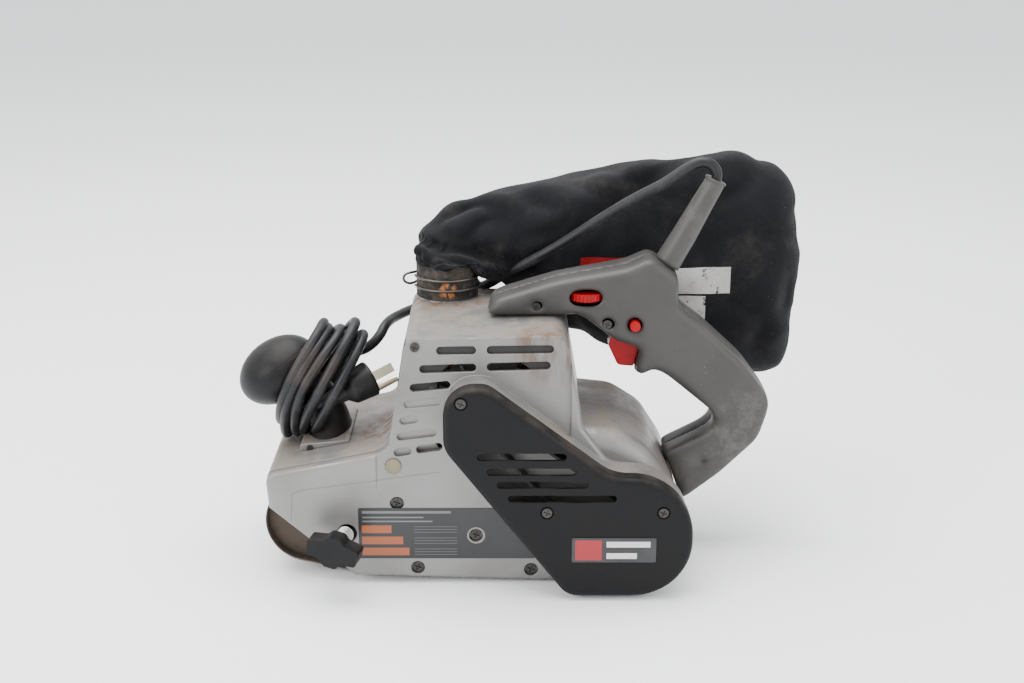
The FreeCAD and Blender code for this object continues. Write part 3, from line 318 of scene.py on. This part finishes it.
def tube(name, points, thickness, material):
    """A round tube along a smooth line through points, as a mesh, and the line itself."""
    curve = bpy.data.curves.new(name + "_line", "CURVE")
    curve.dimensions = "3D"
    curve.bevel_resolution = 5
    curve.resolution_u = 6
    curve.use_fill_caps = True
    spline = curve.splines.new("NURBS")
    spline.points.add(len(points) - 1)
    for slot, point in zip(spline.points, points):
        slot.co = (*point, 1)
    spline.order_u = 3
    spline.use_endpoint_u = True
    guide = bpy.data.objects.new(name + "_line", curve)
    spots = [vertex.co.copy() for vertex in bpy.data.meshes.new_from_object(guide).vertices]
    curve.bevel_depth = thickness / 2
    build = bmesh.new()
    build.from_mesh(bpy.data.meshes.new_from_object(guide))
    bmesh.ops.recalc_face_normals(build, faces=build.faces)
    bpy.data.objects.remove(guide)
    return mesh_object(name, build, material), spots


route = [Vector(point) for point in CORD_ROUTE] + winding_points() + [Vector(point) for point in CORD_END]
cord, cord_line = tube("mains_cord", route, CORD_THICK, cord_rubber)
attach(cord, "housing")
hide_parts("power_cord", "cord_winding")


# ---- Strain relief ---------------------------------------------------------------------
# Soft grey sleeve moulded round the cord where it leaves the handle: a straight taper
# that bends a little at its thin lip.

SLEEVE_LINE = [(0.1305, 0, 0.2018), (0.1412, 0, 0.2208), (0.1512, 0, 0.2397), (0.1592, 0, 0.2545),
               (0.1611, 0, 0.2585)]
SLEEVE_RADII = [0.0088, 0.0083, 0.0075, 0.0069, 0.0068]
RING = 40


def swept(name, line, radii, material, squeeze=1.0):
    """A closed tube through rings of the given radii."""
    build = bmesh.new()
    rings = []
    for index, centre in enumerate(line):
        before = Vector(line[max(index - 1, 0)])
        after = Vector(line[min(index + 1, len(line) - 1)])
        side = (after - before).normalized()
        across = side.cross(Vector((0, 1, 0))).normalized()
        other = side.cross(across)
        ring = []
        for turn in range(RING):
            angle = turn * 2 * math.pi / RING
            spoke = across * math.cos(angle) + other * math.sin(angle) * squeeze
            ring.append(build.verts.new(Vector(centre) + spoke * radii[index]))
        rings.append(ring)
    for low, high in zip(rings, rings[1:]):
        for turn in range(RING):
            nxt = (turn + 1) % RING
            build.faces.new((low[turn], low[nxt], high[nxt], high[turn]))
    build.faces.new(rings[0][::-1])
    build.faces.new(rings[-1])
    bmesh.ops.recalc_face_normals(build, faces=build.faces)
    return mesh_object(name, build, material)


def fine(line, radii, count):
    """More stations along a line, eased between the given ones."""
    spots, sizes = [], []
    for index in range(count + 1):
        share = index / count * (len(line) - 1)
        low = min(int(share), len(line) - 2)
        part = share - low
        spots.append(Vector(line[low]).lerp(Vector(line[low + 1]), part))
        sizes.append(radii[low] + (radii[low + 1] - radii[low]) * part)
    return spots, sizes


relief_rubber = rubber_finish("relief_rubber", (0.044, 0.0425, 0.0395), (0.068, 0.066, 0.061),
                              (0.042, 0.033, 0.025))
spots, sizes = fine(SLEEVE_LINE, SLEEVE_RADII, 28)
sizes[-3] += 0.0005
sizes[-2] += 0.0008
sizes[-1] += 0.0004
sleeve = swept("cord_sleeve", spots, sizes, relief_rubber)
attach(sleeve, "housing")
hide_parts("strain_relief")


# ---- Plug ------------------------------------------------------------------------------
# Moulded black plug with plated blades; it stays as the CAD has it.

plug_rubber = rubber_finish("plug_rubber", (0.003, 0.0028, 0.003), (0.011, 0.0105, 0.0105),
                            (0.035, 0.022, 0.017))


def metal_finish(name, colour, stain, rough, lay=(1, 1, 1)):
    """Bare metal with a fine lay, dull patches and softened edges."""
    coat = Finish(name)
    grain = coat.noise(500, 3, lay)
    patch = coat.noise(45, 5).steps(0.5, 0.72)
    tone = coat.mix(patch * 0.6, colour, stain)
    normal = coat.bump(grain, 0.0001, 0.3, coat.rounded(0.0004))
    return coat.feed(tone, rough + 0.2 * patch + 0.1 * grain, normal, 1 - 0.35 * patch)


plug_brass = metal_finish("plug_brass", (0.75, 0.68, 0.5), (0.4, 0.33, 0.22), 0.25)
paint(plug_rubber, "plug_body")
paint(plug_brass, "plug_blades")


# ---- Castings --------------------------------------------------------------------------
# Silver-painted cast housing, side casting and knob bracket. Brown sanding dust has caked
# round the chute, in the corners of the deck and along the dome, and edges are rubbed.

RUST = (0.1, 0.046, 0.018)
VENT_SPLIT = 0.1305  # the open vents are above this height
PANEL_LINE = [(-0.1166, 0.0447), (-0.1151, 0.0639), (-0.1098, 0.0667), (-0.0186, 0.0793)]


def casting_finish():
    coat = Finish("silver_casting", Specular_IOR_Level=0.5)
    flake = coat.noise(1500, 2)
    cloud = coat.noise(14, 5).steps(0.35, 0.75)
    silver = coat.mix(cloud, (0.215, 0.211, 0.204), (0.16, 0.155, 0.148))
    worn = coat.edges(0.0012) * coat.noise(60, 4).steps(0.42, 0.6)
    silver = coat.mix(worn * 0.6, silver, (0.42, 0.415, 0.4))
    streak = coat.noise(90, 5, (1, 1, 0.25), 0.75)
    dusty = coat.facing_up().steps(0.2, 0.9) * coat.noise(38, 5, (1, 1, 1), 0.7).steps(0.38, 0.68)
    places = coat.near((-0.017, 0.036, 0.168), 0.022, 0.05)
    places += coat.near((-0.05, -0.02, 0.093), 0.012, 0.045)
    places += coat.near((0.142, -0.03, 0.055), 0.01, 0.05)
    places += coat.near((0.055, -0.058, 0.168), 0.01, 0.04)
    caked = (places.clamp() * streak.steps(0.38, 0.62)).clamp()
    colour = coat.mix(dusty * 0.7, silver, (0.15, 0.108, 0.07))
    colour = coat.mix(caked * 0.9, colour, RUST)
    nick = coat.cells(260) < 0.07
    chipped = nick * coat.noise(20, 3).steps(0.55, 0.62)
    colour = coat.mix(chipped, colour, (0.14, 0.12, 0.1))
    near_face = coat.axis("Y") < -0.0585
    crease = 0
    for first, second in zip(PANEL_LINE, PANEL_LINE[1:]):
        crease = coat.stroke(first, second, 0.0004) + crease
    crease = crease * near_face
    colour = coat.mix(crease * 0.4, colour, (0.08, 0.075, 0.07))
    # The wall behind the open vents is solid, so it is painted near-black here as painted shade, in place of
    # the dark open slots.
    recess = (coat.axis("Y") > -0.0583) * (coat.axis("Y") < -0.045)
    painted_vent_shade = recess * coat.inside(-0.045, 0.062, VENT_SPLIT, 0.1648)
    colour = coat.mix(painted_vent_shade * 0.93, colour, (0.006, 0.006, 0.006))
    dull = (dusty + caked + painted_vent_shade).clamp()
    rough = 0.36 + 0.3 * dull + 0.08 * flake
    height = flake * 0.3 + coat.noise(260, 4) * 0.7 + dull * 0.6
    normal = coat.bump(height - crease * 2, 0.00025, 0.4, coat.rounded(0.0011))
    return coat.feed(colour, rough, normal, 0.55 - 0.5 * dull)


silver_casting = casting_finish()
paint(silver_casting, "main_housing", "side_cover", "knob_bracket")


# ---- Moulded covers --------------------------------------------------------------------
# Charcoal glass-filled nylon: the drive-belt cover and the motor's end cap, with pale dust
# in their slots and light scuffs on their rims.

def moulded_finish(name, dark, scuffed, dust, dustiness, rough=0.5):
    """Textured moulded plastic with dust on top and scuffed edges."""
    coat = Finish(name, Specular_IOR_Level=0.16)
    scuff = coat.edges(0.0015) * coat.noise(70, 4).steps(0.4, 0.62)
    cloud = coat.noise(22, 5).steps(0.3, 0.8)
    lint = (coat.cells(420) < 0.05) * coat.noise(30, 2).steps(0.45, 0.6)
    settled = coat.facing_up().steps(0.1, 0.95) * coat.noise(45, 5, (1, 1, 1), 0.7).steps(0.4, 0.66)
    colour = coat.mix(cloud * 0.5, dark, scuffed)
    colour = coat.mix(scuff * 0.7, colour, scuffed)
    colour = coat.mix((settled * dustiness + lint * 0.6).clamp(), colour, dust)
    sand = coat.noise(900, 2)
    normal = coat.bump(sand, 0.0003, 0.35, coat.rounded(0.0009))
    return coat.feed(colour, rough + 0.18 * cloud + 0.15 * settled, normal)


DUST = (0.1, 0.076, 0.053)
case_plastic = moulded_finish("case_plastic", (0.0035, 0.0035, 0.004), (0.0105, 0.0103, 0.0103), DUST, 0.25)
paint(case_plastic, "belt_cover", "motor_end_cap")


# ---- Rear handle -----------------------------------------------------------------------
# Two warm-grey moulded halves screwed together round the switch. Every edge is generously
# rounded and the heel of the grip is rubbed pale.

def handle_finish():
    coat = Finish("grip_plastic", Specular_IOR_Level=0.3)
    cloud = coat.noise(18, 5).steps(0.3, 0.75)
    colour = coat.mix(cloud, (0.036, 0.0345, 0.0325), (0.048, 0.046, 0.043))
    heel = coat.near((0.186, -0.01, 0.085), 0.012, 0.05)
    rubbed = heel * coat.noise(75, 6, (1, 1, 1), 0.8).steps(0.42, 0.66)
    colour = coat.mix(rubbed * 0.5, colour, (0.13, 0.122, 0.11))
    speck = (coat.cells(300) < 0.06) * coat.noise(25, 2).steps(0.45, 0.6)
    colour = coat.mix(speck * 0.6, colour, (0.4, 0.36, 0.3))
    grimy = coat.near((0.142, 0, 0.055), 0.008, 0.03) * coat.noise(60, 4).steps(0.4, 0.65)
    colour = coat.mix(grimy * 0.7, colour, (0.1, 0.07, 0.045))
    return coat.feed(colour, 0.38 + 0.14 * cloud + 0.2 * rubbed, coat.bump(coat.noise(650, 2), 0.00025, 0.3))


def rounded_copy(name, sources, voxel, passes, material):
    """A softened copy of CAD nodes: one skin, remeshed and relaxed."""
    build = bmesh.new()
    for source in sources:
        build.from_mesh(nodes[source].data)
    bmesh.ops.remove_doubles(build, verts=build.verts, dist=1e-5)
    made = mesh_object(name, build, material)
    remesh = made.modifiers.new("skin", "REMESH")
    remesh.mode = "VOXEL"
    remesh.voxel_size = voxel
    made.data = bpy.data.meshes.new_from_object(made.evaluated_get(bpy.context.evaluated_depsgraph_get()))
    made.modifiers.clear()
    away = made.vertex_groups.new(name="away")
    for vertex in made.data.vertices:
        x, y, z = vertex.co
        opening = abs(y) < 0.009 and 0.086 < x < 0.122 and 0.126 < z < 0.168
        away.add([vertex.index], 0 if opening else min(abs(y) / 0.006, 1), "REPLACE")
    relax = made.modifiers.new("relax", "SMOOTH")
    relax.factor = 0.5
    relax.iterations = passes
    relax.vertex_group = "away"
    skin = bpy.data.meshes.new_from_object(made.evaluated_get(bpy.context.evaluated_depsgraph_get()))
    made.modifiers.clear()
    made.data = skin
    for face in skin.polygons:
        face.use_smooth = True
    return made


grip_plastic = handle_finish()
for side, source in (("near", "handle_left"), ("far", "handle_right")):
    half = rounded_copy("handle_" + side, [source], 0.0015, 70, grip_plastic)
    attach(half, "housing")
    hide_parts(source)

red_plastic = moulded_finish("red_plastic", (0.27, 0.0, 0.003), (0.33, 0.008, 0.01), (0.18, 0.05, 0.035),
                             0.15, 0.25)
paint(red_plastic, "trigger", "lock_button", "speed_dial")


# ---- Front knob ------------------------------------------------------------------------
# Black satin knob in two shells on a flared neck.

knob_plastic = moulded_finish("knob_plastic", (0.0045, 0.0045, 0.005), (0.013, 0.013, 0.0135),
                              (0.075, 0.06, 0.048), 0.2, 0.34)
paint(knob_plastic, "front_knob_cap", "front_knob_body", "tracking_knob")


# ---- Belts, drums and the working parts ------------------------------------------------
# The sanding belt is brown-grey cloth with worn grit; drums are turned aluminium, the rear
# one in ribbed rubber; shafts, levers and screws are plain steel.

def abrasive_finish():
    coat = Finish("abrasive_cloth", Specular_IOR_Level=0.25)
    grit = coat.cells(1100)
    worn = coat.noise(30, 5, (0.35, 2.2, 0.35), 0.7).steps(0.35, 0.7)
    colour = coat.mix(worn, (0.035, 0.026, 0.022), (0.1, 0.075, 0.058))
    colour = coat.mix(grit.steps(0.25, 0.05) * 0.5, colour, (0.19, 0.14, 0.1))
    return coat.feed(colour, 0.85 - 0.2 * worn, coat.bump(grit, 0.0005, 0.8))


def plain_finish(name, first, second, rough, scale=60, grain=400):
    """Quiet mottled finish for parts deep inside."""
    coat = Finish(name)
    cloud = coat.noise(scale, 4).steps(0.35, 0.7)
    return coat.feed(coat.mix(cloud, first, second), rough, coat.bump(coat.noise(grain, 3), 0.0002, 0.4))


steel = metal_finish("dark_steel", (0.3, 0.29, 0.28), (0.12, 0.085, 0.06), 0.35)
bright = metal_finish("spring_steel", (0.6, 0.6, 0.58), (0.35, 0.3, 0.25), 0.22)
aluminium = metal_finish("turned_aluminium", (0.62, 0.62, 0.62), (0.36, 0.34, 0.31), 0.3, (1, 8, 1))
paint(abrasive_finish(), "sanding_belt")
paint(steel, "motor_shaft", "drive_shaft", "front_axle", "fork_pivot_pin", "lever_pin", "slide_bar",
      "platen_shoe", "shaft_bearings", "front_drum_bearings", "tracking_screw", "tension_lever")
paint(metal_finish("blackened_steel", (0.06, 0.058, 0.055), (0.03, 0.02, 0.014), 0.45), "casing_screws",
      "cover_screws", "handle_screws")
paint(metal_finish("grimy_aluminium", (0.085, 0.068, 0.055), (0.03, 0.02, 0.014), 0.6, (1, 8, 1)),
      "front_drum", "front_fork")
paint(bright, "tracking_spring")
paint(aluminium, "rear_drum", "motor_pulley", "drum_pulley", "dust_chute")
paint(plain_finish("lamination", (0.15, 0.15, 0.15), (0.22, 0.21, 0.2), 0.5), "armature_core", "field_core")
paint(metal_finish("copper", (0.7, 0.33, 0.18), (0.4, 0.2, 0.12), 0.35), "armature_windings", "field_coils",
      "commutator")
paint(plain_finish("carbon", (0.02, 0.02, 0.02), (0.04, 0.04, 0.04), 0.6), "carbon_brushes")
paint(plain_finish("fan_plastic", (0.04, 0.04, 0.04), (0.07, 0.07, 0.065), 0.5), "cooling_fan")
paint(plain_finish("drum_rubber", (0.02, 0.02, 0.02), (0.045, 0.04, 0.035), 0.7), "rear_drum_sleeve")
paint(plain_finish("toothed_rubber", (0.015, 0.015, 0.015), (0.03, 0.03, 0.03), 0.6), "drive_belt")
paint(plain_finish("cork", (0.42, 0.27, 0.14), (0.55, 0.37, 0.2), 0.85, 200), "cork_pad")
paint(plain_finish("olive_plastic", (0.13, 0.115, 0.07), (0.2, 0.17, 0.1), 0.5), "inspection_plug")
paint(plain_finish("switch_plastic", (0.03, 0.03, 0.03), (0.06, 0.06, 0.06), 0.5), "switch_body",
      "brush_holders")


# ---- Springs ---------------------------------------------------------------------------
# Wound steel wire, pushed on over the slide bar and seated behind the trigger. Each coil is
# swept in geometry nodes and kept as a fixed mesh.

def coil_spring(name, start, end, radius, wire, turns, material):
    """A helical compression spring between two points."""
    group = bpy.data.node_groups.new(name, "GeometryNodeTree")
    length = (Vector(end) - Vector(start)).length
    sizes = {"Radius": radius, "Wire": wire / 2, "Turns": turns, "Length": length}
    for label in sizes:
        group.interface.new_socket(label, in_out="INPUT", socket_type="NodeSocketFloat")
    group.interface.new_socket("Geometry", in_out="OUTPUT", socket_type="NodeSocketGeometry")
    kinds = ("NodeGroupInput", "GeometryNodeCurveSpiral", "GeometryNodeCurvePrimitiveCircle",
             "GeometryNodeCurveToMesh", "GeometryNodeRealizeInstances", "GeometryNodeSetMaterial",
             "NodeGroupOutput")
    given, helix, ring, sweep, whole, coloured, result = [group.nodes.new(kind) for kind in kinds]
    helix.inputs["Resolution"].default_value = 40
    ring.inputs["Resolution"].default_value = 12
    coloured.inputs["Material"].default_value = material
    for source, label, target, socket in (
            (given, "Turns", helix, "Rotations"), (given, "Radius", helix, "Start Radius"),
            (given, "Radius", helix, "End Radius"), (given, "Length", helix, "Height"),
            (given, "Wire", ring, "Radius"), (helix, "Curve", sweep, "Curve"),
            (ring, "Curve", sweep, "Profile Curve"), (sweep, "Mesh", whole, "Geometry"),
            (whole, "Geometry", coloured, "Geometry"), (coloured, "Geometry", result, "Geometry")):
        group.links.new(source.outputs[label], target.inputs[socket])
    sweep.inputs["Fill Caps"].default_value = True
    carrier = bpy.data.objects.new(name + "_carrier", bpy.data.meshes.new(name))
    bpy.context.scene.collection.objects.link(carrier)
    winder = carrier.modifiers.new("winder", "NODES")
    winder.node_group = group
    for item in group.interface.items_tree:
        if item.in_out == "INPUT":
            winder[item.identifier] = float(sizes[item.name])
    carrier.update_tag()
    depsgraph = bpy.context.evaluated_depsgraph_get()
    wound = bpy.data.meshes.new_from_object(carrier.evaluated_get(depsgraph))
    bpy.data.objects.remove(carrier)
    turn = Vector((0, 0, 1)).rotation_difference(Vector(end) - Vector(start))
    build = bmesh.new()
    build.from_mesh(wound)
    for vertex in build.verts:
        vertex.co = turn @ vertex.co + Vector(start)
    bmesh.ops.recalc_face_normals(build, faces=build.faces)
    return mesh_object(name, build, material)


def middle_of(node):
    """Middle and half size of a CAD node's box."""
    low, high = (Vector(corner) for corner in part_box(node))
    return (low + high) / 2, (high - low) / 2


middle, half = middle_of("tension_spring")
reach = Vector((half.x - 0.0009, 0, 0))
main_spring = coil_spring("main_spring", middle - reach, middle + reach, 0.0065, 0.0018, 4.5, bright)
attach(main_spring, "housing")
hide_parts("tension_spring")
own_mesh(main_spring)

# The way the trigger goes in when it is pressed.
PULL = Vector((0.74, 0, 0.68)).normalized()
middle = middle_of("trigger_spring")[0]
reach = PULL * 0.0024
small_spring = coil_spring("return_spring", middle - reach, middle + reach, 0.0026, 0.0009, 4, bright)
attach(small_spring, "housing")
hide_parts("trigger_spring")
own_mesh(small_spring)


# ---- Labels ----------------------------------------------------------------------------
# Two printed stickers with plain blocks in place of print.

def plate_finish():
    coat = Finish("plate_print", Specular_IOR_Level=0.5)
    z = coat.axis("Z")
    colour = coat.mix(coat.noise(30, 4).steps(0.3, 0.8), (0.0065, 0.0065, 0.0072), (0.012, 0.012, 0.013))
    for low, high, x_end in ((0.0505, 0.0522, -0.012), (0.0472, 0.0482, -0.03), (0.0444, 0.0454, -0.024)):
        bar = coat.inside(-0.07, x_end, low, high)
        colour = coat.mix(bar * 0.6, colour, (0.18, 0.185, 0.19))
    for rise, wide in ((0.0205, 0.031), (0.0285, 0.027), (0.0365, 0.0195)):
        block = coat.inside(-0.0705, wide - 0.0705, rise, rise + 0.0055)
        colour = coat.mix(block, colour, (0.26, 0.062, 0.014))
        for line in range(3):
            low = rise + 0.0003 + line * 0.002
            rule = coat.inside(-0.036, -0.008, low, low + 0.0006)
            colour = coat.mix(rule * 0.4, colour, (0.12, 0.12, 0.125))
    scratched = (z + coat.noise(12, 5) * 0.01).steps(0.02, 0.06) * 0.06
    return coat.feed(colour, 0.3 + scratched, coat.bump(coat.noise(200, 3), 0.0001, 0.3))


def badge_finish():
    coat = Finish("badge_print", Specular_IOR_Level=0.5)
    colour = coat.mix(coat.noise(60, 3).steps(0.4, 0.7), (0.009, 0.009, 0.01), (0.018, 0.018, 0.019))
    colour = coat.mix(coat.inside(0.0685, 0.0855, 0.0295, 0.0435), colour, (0.26, 0.003, 0.009))
    for low, end in ((0.0385, 0.1165), (0.0305, 0.108)):
        colour = coat.mix(coat.inside(0.0885, end, low, low + 0.004), colour, (0.5, 0.5, 0.49))
    return coat.feed(colour, 0.3, coat.bump(coat.noise(300, 3), 0.0001, 0.3))


paint(plate_finish(), "rating_plate")
paint(badge_finish(), "cover_badge")


# ---- Dust bag --------------------------------------------------------------------------
# Blue-black woven bag, slack and nearly empty, on a rubber cuff held by a wire clip. It
# hangs back from the chute and is bunched at its neck; its sewn hem along the foot is not built.

BAG_RINGS = [  # outer point (x, z), inner point (x, z), middle y, half depth, squareness
    ((-37.2, 191), (3.6, 191), 41.6, 20.8, 2.0), ((-38.6, 199), (5.2, 195.5), 42.6, 21.6, 2.0),
    ((-39.5, 207), (8, 192), 44, 22.4, 2.1), ((-36.5, 216), (12.5, 186), 48, 22.5, 2.2),
    ((-27, 225), (17.5, 182.5), 54, 22, 2.3), ((-10, 233), (23.5, 178), 59.5, 23, 2.4),
    ((12, 241), (29, 167.5), 65, 24, 2.5), ((38, 247), (41, 158), 69, 24.5, 2.6),
    ((66, 252), (62, 146), 71, 25, 2.7), ((96, 257), (90, 134), 72, 25, 2.7),
    ((126, 262), (120, 122), 72, 25.5, 2.7), ((154, 266.5), (149, 111), 72, 25.5, 2.7),
    ((180, 268), (178, 107), 72, 25, 2.7), ((203, 262), (203, 106.5), 72, 22.5, 2.6),
    ((219, 249), (217, 109), 72, 18, 2.5), ((228, 226), (225, 120), 72, 11, 2.4),
    ((231, 200), (228, 140), 72, 5, 2.2)]
BAG_AROUND = 88
RINGS_BETWEEN = 5
BAG_CAP = 0.006  # the furthest a point of the cloth may settle
FOLD_START = (-0.0339, 0.2078)  # the neck's diagonal fold, as (x, z), and how steeply it falls
FOLD_FALL = 0.25


def eased_rings():
    """Bag rings with more in between, on a smooth curve through the given ones."""
    rings = [(Vector((o[0], 0, o[1])), Vector((i[0], 0, i[1])), y, d, e) for o, i, y, d, e in BAG_RINGS]
    out = []
    for index in range(len(rings) - 1):
        four = [rings[max(index - 1, 0)], rings[index], rings[index + 1],
                rings[min(index + 2, len(rings) - 1)]]
        for step in range(RINGS_BETWEEN):
            t = step / RINGS_BETWEEN
            weights = (-0.5 * t + t * t - 0.5 * t ** 3, 1 - 2.5 * t * t + 1.5 * t ** 3,
                       0.5 * t + 2 * t * t - 1.5 * t ** 3, -0.5 * t * t + 0.5 * t ** 3)
            blended = []
            for field in range(5):
                total = four[0][field] * weights[0]
                for ring, weight in zip(four[1:], weights[1:]):
                    total = total + ring[field] * weight
                blended.append(total)
            out.append(blended)
    out.append(rings[-1])
    return out


def cord_line_z(x):
    """Height of the cord above a point along the tool, in mm, where it crosses the bag."""
    return 192.5 + (x - 38) * (254.4 - 192.5) / (129 - 38)


def bag_mesh(material):
    build = bmesh.new()
    layer = build.loops.layers.uv.new("cloth")
    rings = []
    rows = eased_rings()
    for outer, inner, y, depth, square in rows:
        middle = (outer + inner) / 2
        half = (outer - inner) / 2
        ring = []
        for turn in range(BAG_AROUND):
            angle = turn * 2 * math.pi / BAG_AROUND
            c = math.cos(angle)
            s = math.sin(angle)
            across = math.copysign(abs(c) ** (2 / square), c)
            deep = math.copysign(abs(s) ** (2 / square), s)
            spot = middle + half * across + Vector((0, y - depth * deep, 0))
            if s > 0 and 20 < spot.x < 165:
                gap = spot.z - cord_line_z(spot.x)
                spot.y += 5 * math.exp(-(gap / 7) ** 2) - 5 * math.exp(-((gap - 22) / 13) ** 2)
            ring.append(build.verts.new(spot / 1000))
        rings.append(ring)
    travelled = 0
    for index, (low, high) in enumerate(zip(rings, rings[1:])):
        width = 2 * rows[index][3] + (rows[index][0] - rows[index][1]).length
        step = (high[0].co - low[0].co + high[BAG_AROUND // 2].co - low[BAG_AROUND // 2].co).length / 2
        for turn in range(BAG_AROUND):
            nxt = (turn + 1) % BAG_AROUND
            face = build.faces.new((low[turn], high[turn], high[nxt], low[nxt]))
            corners = ((0, turn), (1, turn), (1, turn + 1), (0, turn + 1))
            for loop, (along, around) in zip(face.loops, corners):
                loop[layer].uv = (travelled + along * step, around / BAG_AROUND * width * 0.0018)
        travelled += step
    build.faces.new(rings[-1])
    bmesh.ops.recalc_face_normals(build, faces=build.faces)
    return mesh_object("cloth_bag", build, material)


def crumple(bag):
    """Give the bag more cloth than it needs and let it settle, moving each point a little."""
    before = [vertex.co.copy() for vertex in bag.data.vertices]
    held = bag.vertex_groups.new(name="held")
    held.add([index for index in range(BAG_AROUND * 4)], 1.0, "REPLACE")
    cloth = bag.modifiers.new("cloth", "CLOTH")
    fabric = cloth.settings
    fabric.quality = 6
    fabric.mass = 0.25
    fabric.tension_stiffness = 12
    fabric.compression_stiffness = 12
    fabric.bending_stiffness = 0.15
    fabric.shrink_min = -0.07
    fabric.vertex_group_mass = "held"
    fabric.use_pressure = True
    fabric.uniform_pressure_force = 0.6
    fabric.effector_weights.gravity = 0.1
    scene = bpy.context.scene
    for number in range(1, 22):
        scene.frame_set(number)
    settled = bag.evaluated_get(bpy.context.evaluated_depsgraph_get())
    after = [vertex.co.copy() for vertex in settled.data.vertices]
    bag.modifiers.remove(cloth)
    for vertex, start, end in zip(bag.data.vertices, before, after):
        move = end - start
        if move.length > BAG_CAP:
            move *= BAG_CAP / move.length
        vertex.co = start + move
    bag.vertex_groups.clear()
    scene.frame_set(1)


def bag_finish():
    coat = Finish("bag_cloth", Specular_IOR_Level=0.15, Sheen_Weight=0.08, Sheen_Roughness=0.4)
    cloth = coat.node("ShaderNodeUVMap", {"uv_map": "cloth"})
    along = coat.node("ShaderNodeSeparateXYZ", {}, {"Vector": cloth}, "X")
    around = coat.node("ShaderNodeSeparateXYZ", {}, {"Vector": cloth}, "Y")
    thread = 2 * math.pi / 0.0011
    weave = (along * thread).sine() * (around * thread).sine()
    cloud = coat.noise(13, 6, (1, 1, 1), 0.7).steps(0.38, 0.72)
    colour = coat.mix(cloud, (0.0028, 0.003, 0.0042), (0.0075, 0.0078, 0.0095))
    colour = coat.mix(coat.inside(0.0754, 0.1058, 0.1775, 0.194), colour, (0.22, 0.006, 0.008))
    for low, high, start, end in ((0.1672, 0.1864, 0.1398, 0.1802), (0.1493, 0.1657, 0.1418, 0.1631)):
        bar = coat.inside(start, end, low, high) * coat.noise(160, 4).steps(0.32, 0.42)
        colour = coat.mix(bar, colour, (0.42, 0.41, 0.39))
    dust = coat.noise(24, 6, (1, 1, 1), 0.75).steps(0.5, 0.78)
    colour = coat.mix(dust * 0.3, colour, (0.07, 0.058, 0.048))
    lint = (coat.cells(330) < 0.045) * coat.noise(40, 2).steps(0.4, 0.6)
    colour = coat.mix(lint * 0.7, colour, (0.35, 0.33, 0.3))
    height = weave * 0.5 + coat.noise(220, 4) * 0.9
    return coat.feed(colour, 0.82 + 0.08 * dust, coat.bump(height, 0.0005, 0.6))


bag_cloth = bag_finish()
bag = bag_mesh(bag_cloth)
crumple(bag)
for vertex in bag.data.vertices:
    at = vertex.co
    share = min(max((at.x + 0.005) / 0.05, 0), 1)
    crease = abs(noise.noise(Vector((at.x * 24 + at.z * 16, at.y * 18, at.z * 26 - at.x * 12))))
    fold = min(crease, 0.28) * 0.014 - 0.0022 + noise.noise(at * 70) * 0.0009
    bunch = abs(noise.noise(Vector((at.x * 34, at.y * 60, at.z * 48 + 4)))) * 0.012 - 0.002
    move = fold * share + bunch * (1 - share)
    if vertex.normal.y < -0.2 and -0.036 < at.x < 0.03:
        gap = at.z - (FOLD_START[1] - (at.x - FOLD_START[0]) * FOLD_FALL)
        move += 0.002 * math.exp(-((gap + 0.009) / 0.005) ** 2) - 0.0045 * math.exp(-(gap / 0.0028) ** 2)
    vertex.co = at + vertex.normal * move
softer = bag.modifiers.new("softer", "SUBSURF")
softer.levels = 1
softer.render_levels = 1
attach(bag, "bag")
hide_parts("dust_bag")


def cuff_finish():
    coat = Finish("cuff_rubber", Specular_IOR_Level=0.3)
    fuzz = coat.noise(260, 5, (1, 1, 1), 0.8)
    cake = coat.noise(60, 5).steps(0.4, 0.62)
    colour = coat.mix(fuzz.steps(0.45, 0.65), (0.012, 0.012, 0.013), (0.05, 0.046, 0.042))
    colour = coat.mix(cake * 0.35, colour, (0.1, 0.07, 0.048))
    rust = coat.near((-0.016, 0.021, 0.177), 0.002, 0.008) * coat.noise(240, 4).steps(0.42, 0.55)
    colour = coat.mix(rust, colour, (0.45, 0.16, 0.05))
    return coat.feed(colour, 0.9, coat.bump(fuzz, 0.0012, 0.8))


paint(cuff_finish(), "bag_cuff")

# One dark wire, bent twice round the cuff and out to a closed loop to pinch at the front.
CLIP_MIDDLE = (-0.0168, 0.0416)
CLIP_RADIUS = 0.02225
clip_points = []
for height, order in ((0.1765, 1), (0.1835, -1)):
    hoop = []
    for step in range(40):
        angle = math.pi + 0.2 + (math.tau - 0.4) * step / 39
        x = CLIP_MIDDLE[0] + CLIP_RADIUS * math.cos(angle)
        y = CLIP_MIDDLE[1] + CLIP_RADIUS * math.sin(angle)
        hoop.append((x, y, height))
    clip_points += hoop[::order]
    if order == 1:
        clip_points += [(-0.0425, 0.0425, 0.1758), (-0.0462, 0.0418, 0.1772), (-0.0474, 0.0416, 0.18),
                        (-0.0462, 0.0414, 0.1828), (-0.0425, 0.0412, 0.1842)]
clip_steel = metal_finish("clip_steel", (0.1, 0.09, 0.08), (0.04, 0.025, 0.016), 0.4)
clip = tube("wire_clip", clip_points, 0.0018, clip_steel)[0]
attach(clip, "bag")
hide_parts("bag_clip")
